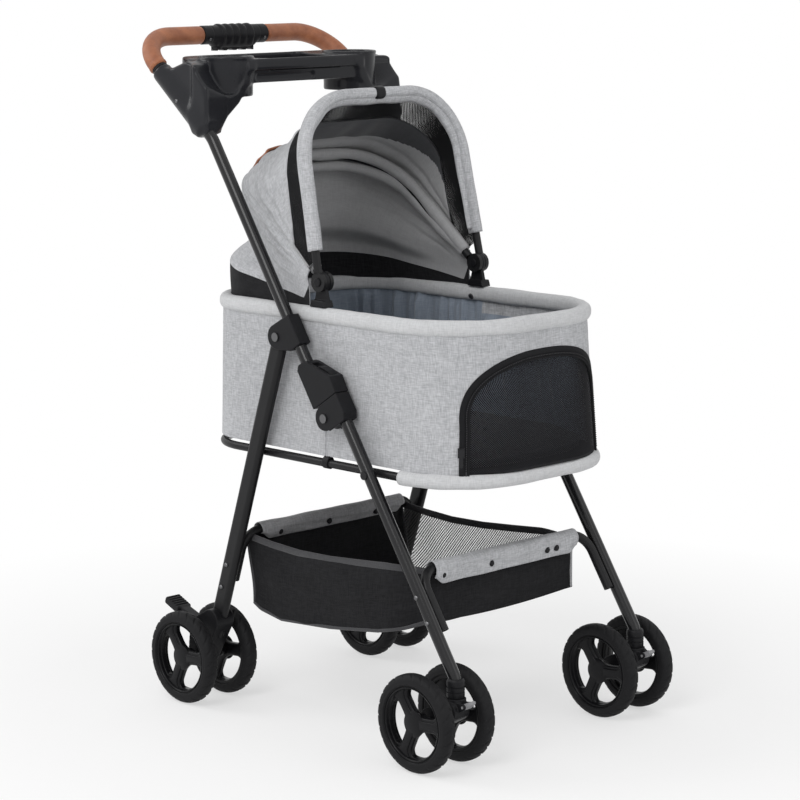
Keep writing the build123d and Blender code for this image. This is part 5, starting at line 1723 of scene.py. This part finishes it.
def buildPedals():
    step = pedalLook["grid"]
    x, y, z = (np.arange(low, high, step) for low, high in ((-294, -200), (-16, 16 + step), (102, 154)))
    field = pedalField(x[:, None, None], y[None, :, None], z[None, None])
    points, faces = surfaceNet(field, np.array([x[0], y[0], z[0]]), step)
    for side, sign in sides.items():
        pedal = addMesh(f"brakePedal.{side}", points + [0, sign * pairY, 0], faces.tolist(), blackPlastic)
        place(pedal, f"brake_pedal_{side}", "black_plastic", f"brake_pedal_{side}")


collarLook = {"x": 322.0, "y": 188.0, "radius": 12.6, "low": 106.0, "high": 133.0, "groove": 1.1}


def buildCollars():
    # caster sockets: a turned collar with two ring grooves
    r, low, high, cut = collarLook["radius"], collarLook["low"], collarLook["high"], collarLook["groove"]
    profile = [(9.0, low), (r - 0.6, low), (r, low + 0.8)]
    for spot in (low + 9.0, low + 16.0):
        profile += [(r, spot - 1.1), (r - cut, spot - 0.6), (r - cut, spot + 0.6), (r, spot + 1.1)]
    profile += [(r, high - 4.0), (r - 0.8, high - 1.6), (r - 2.6, high), (9.0, high)]
    angle = fullTurn(48)[:, None]
    radius, z = (np.array(profile)[None, :, k] for k in (0, 1))
    shells = []
    for sign in sides.values():
        x, y = collarLook["x"] + radius * np.cos(angle), sign * collarLook["y"] + radius * np.sin(angle)
        grid = np.stack([x, y, z + 0 * angle], -1)
        ring, _ = gridFaces(*grid.shape[:2], True, True)
        shells.append((grid.reshape(-1, 3), ring))
    points, faces = joinShells(shells)
    collars = addMesh("casterCollars", points, faces, blackPlastic, None, None, False, 40)
    place(collars, "front_frame", "black_plastic", "caster_sockets")


# each leg: distance of its outer face from the middle plane, and its rivets at (x, z)
rivetLook = {"radius": 3.4, "depth": 2.4, "rearLeg": (195.2, ((-161.7, 180.4), (-149.3, 216.1))),
             "frontLeg": (196.6, ((254.5, 236.0), (275.8, 202.9)))}


def buildRivets():
    for name, body in (("rearLeg", "rear_frame"), ("frontLeg", "front_frame")):
        face, spots = rivetLook[name]
        points = [(x, sign * face, z) for sign in sides.values() for x, z in spots]
        facing = [(0, sign, 0) for sign in sides.values() for _ in spots]
        repeatShape(f"{name}Rivets", points, facing, body, "pin_steel", pinSteel,
                    rivetLook["radius"], rivetLook["depth"], 20)


buildMoulded()
buildTray()
buildPedals()
buildCollars()
buildRivets()
print("moulded pieces built")

# CAD nodes that keep their shape

finishes = {
    "handle_tube": glossPaint, "front_leg": glossPaint, "rear_leg": legPaint, "rear_cross_tube": legPaint,
    "front_cross_tube": legPaint, "bottom_hoop": legPaint, "front_bow": legPaint, "rear_bow": legPaint,
    "parent_tray": trayPlastic, "fold_pins": pinSteel, "zip_slider": zipMetal, "caster_lock": greyPlastic,
}
for name in nodes:
    found = [key for key in finishes if name == key or name in (key + "_right", key + "_left")]
    paintNode(name, finishes[found[0]] if found else blackPlastic)
print("finishes set")
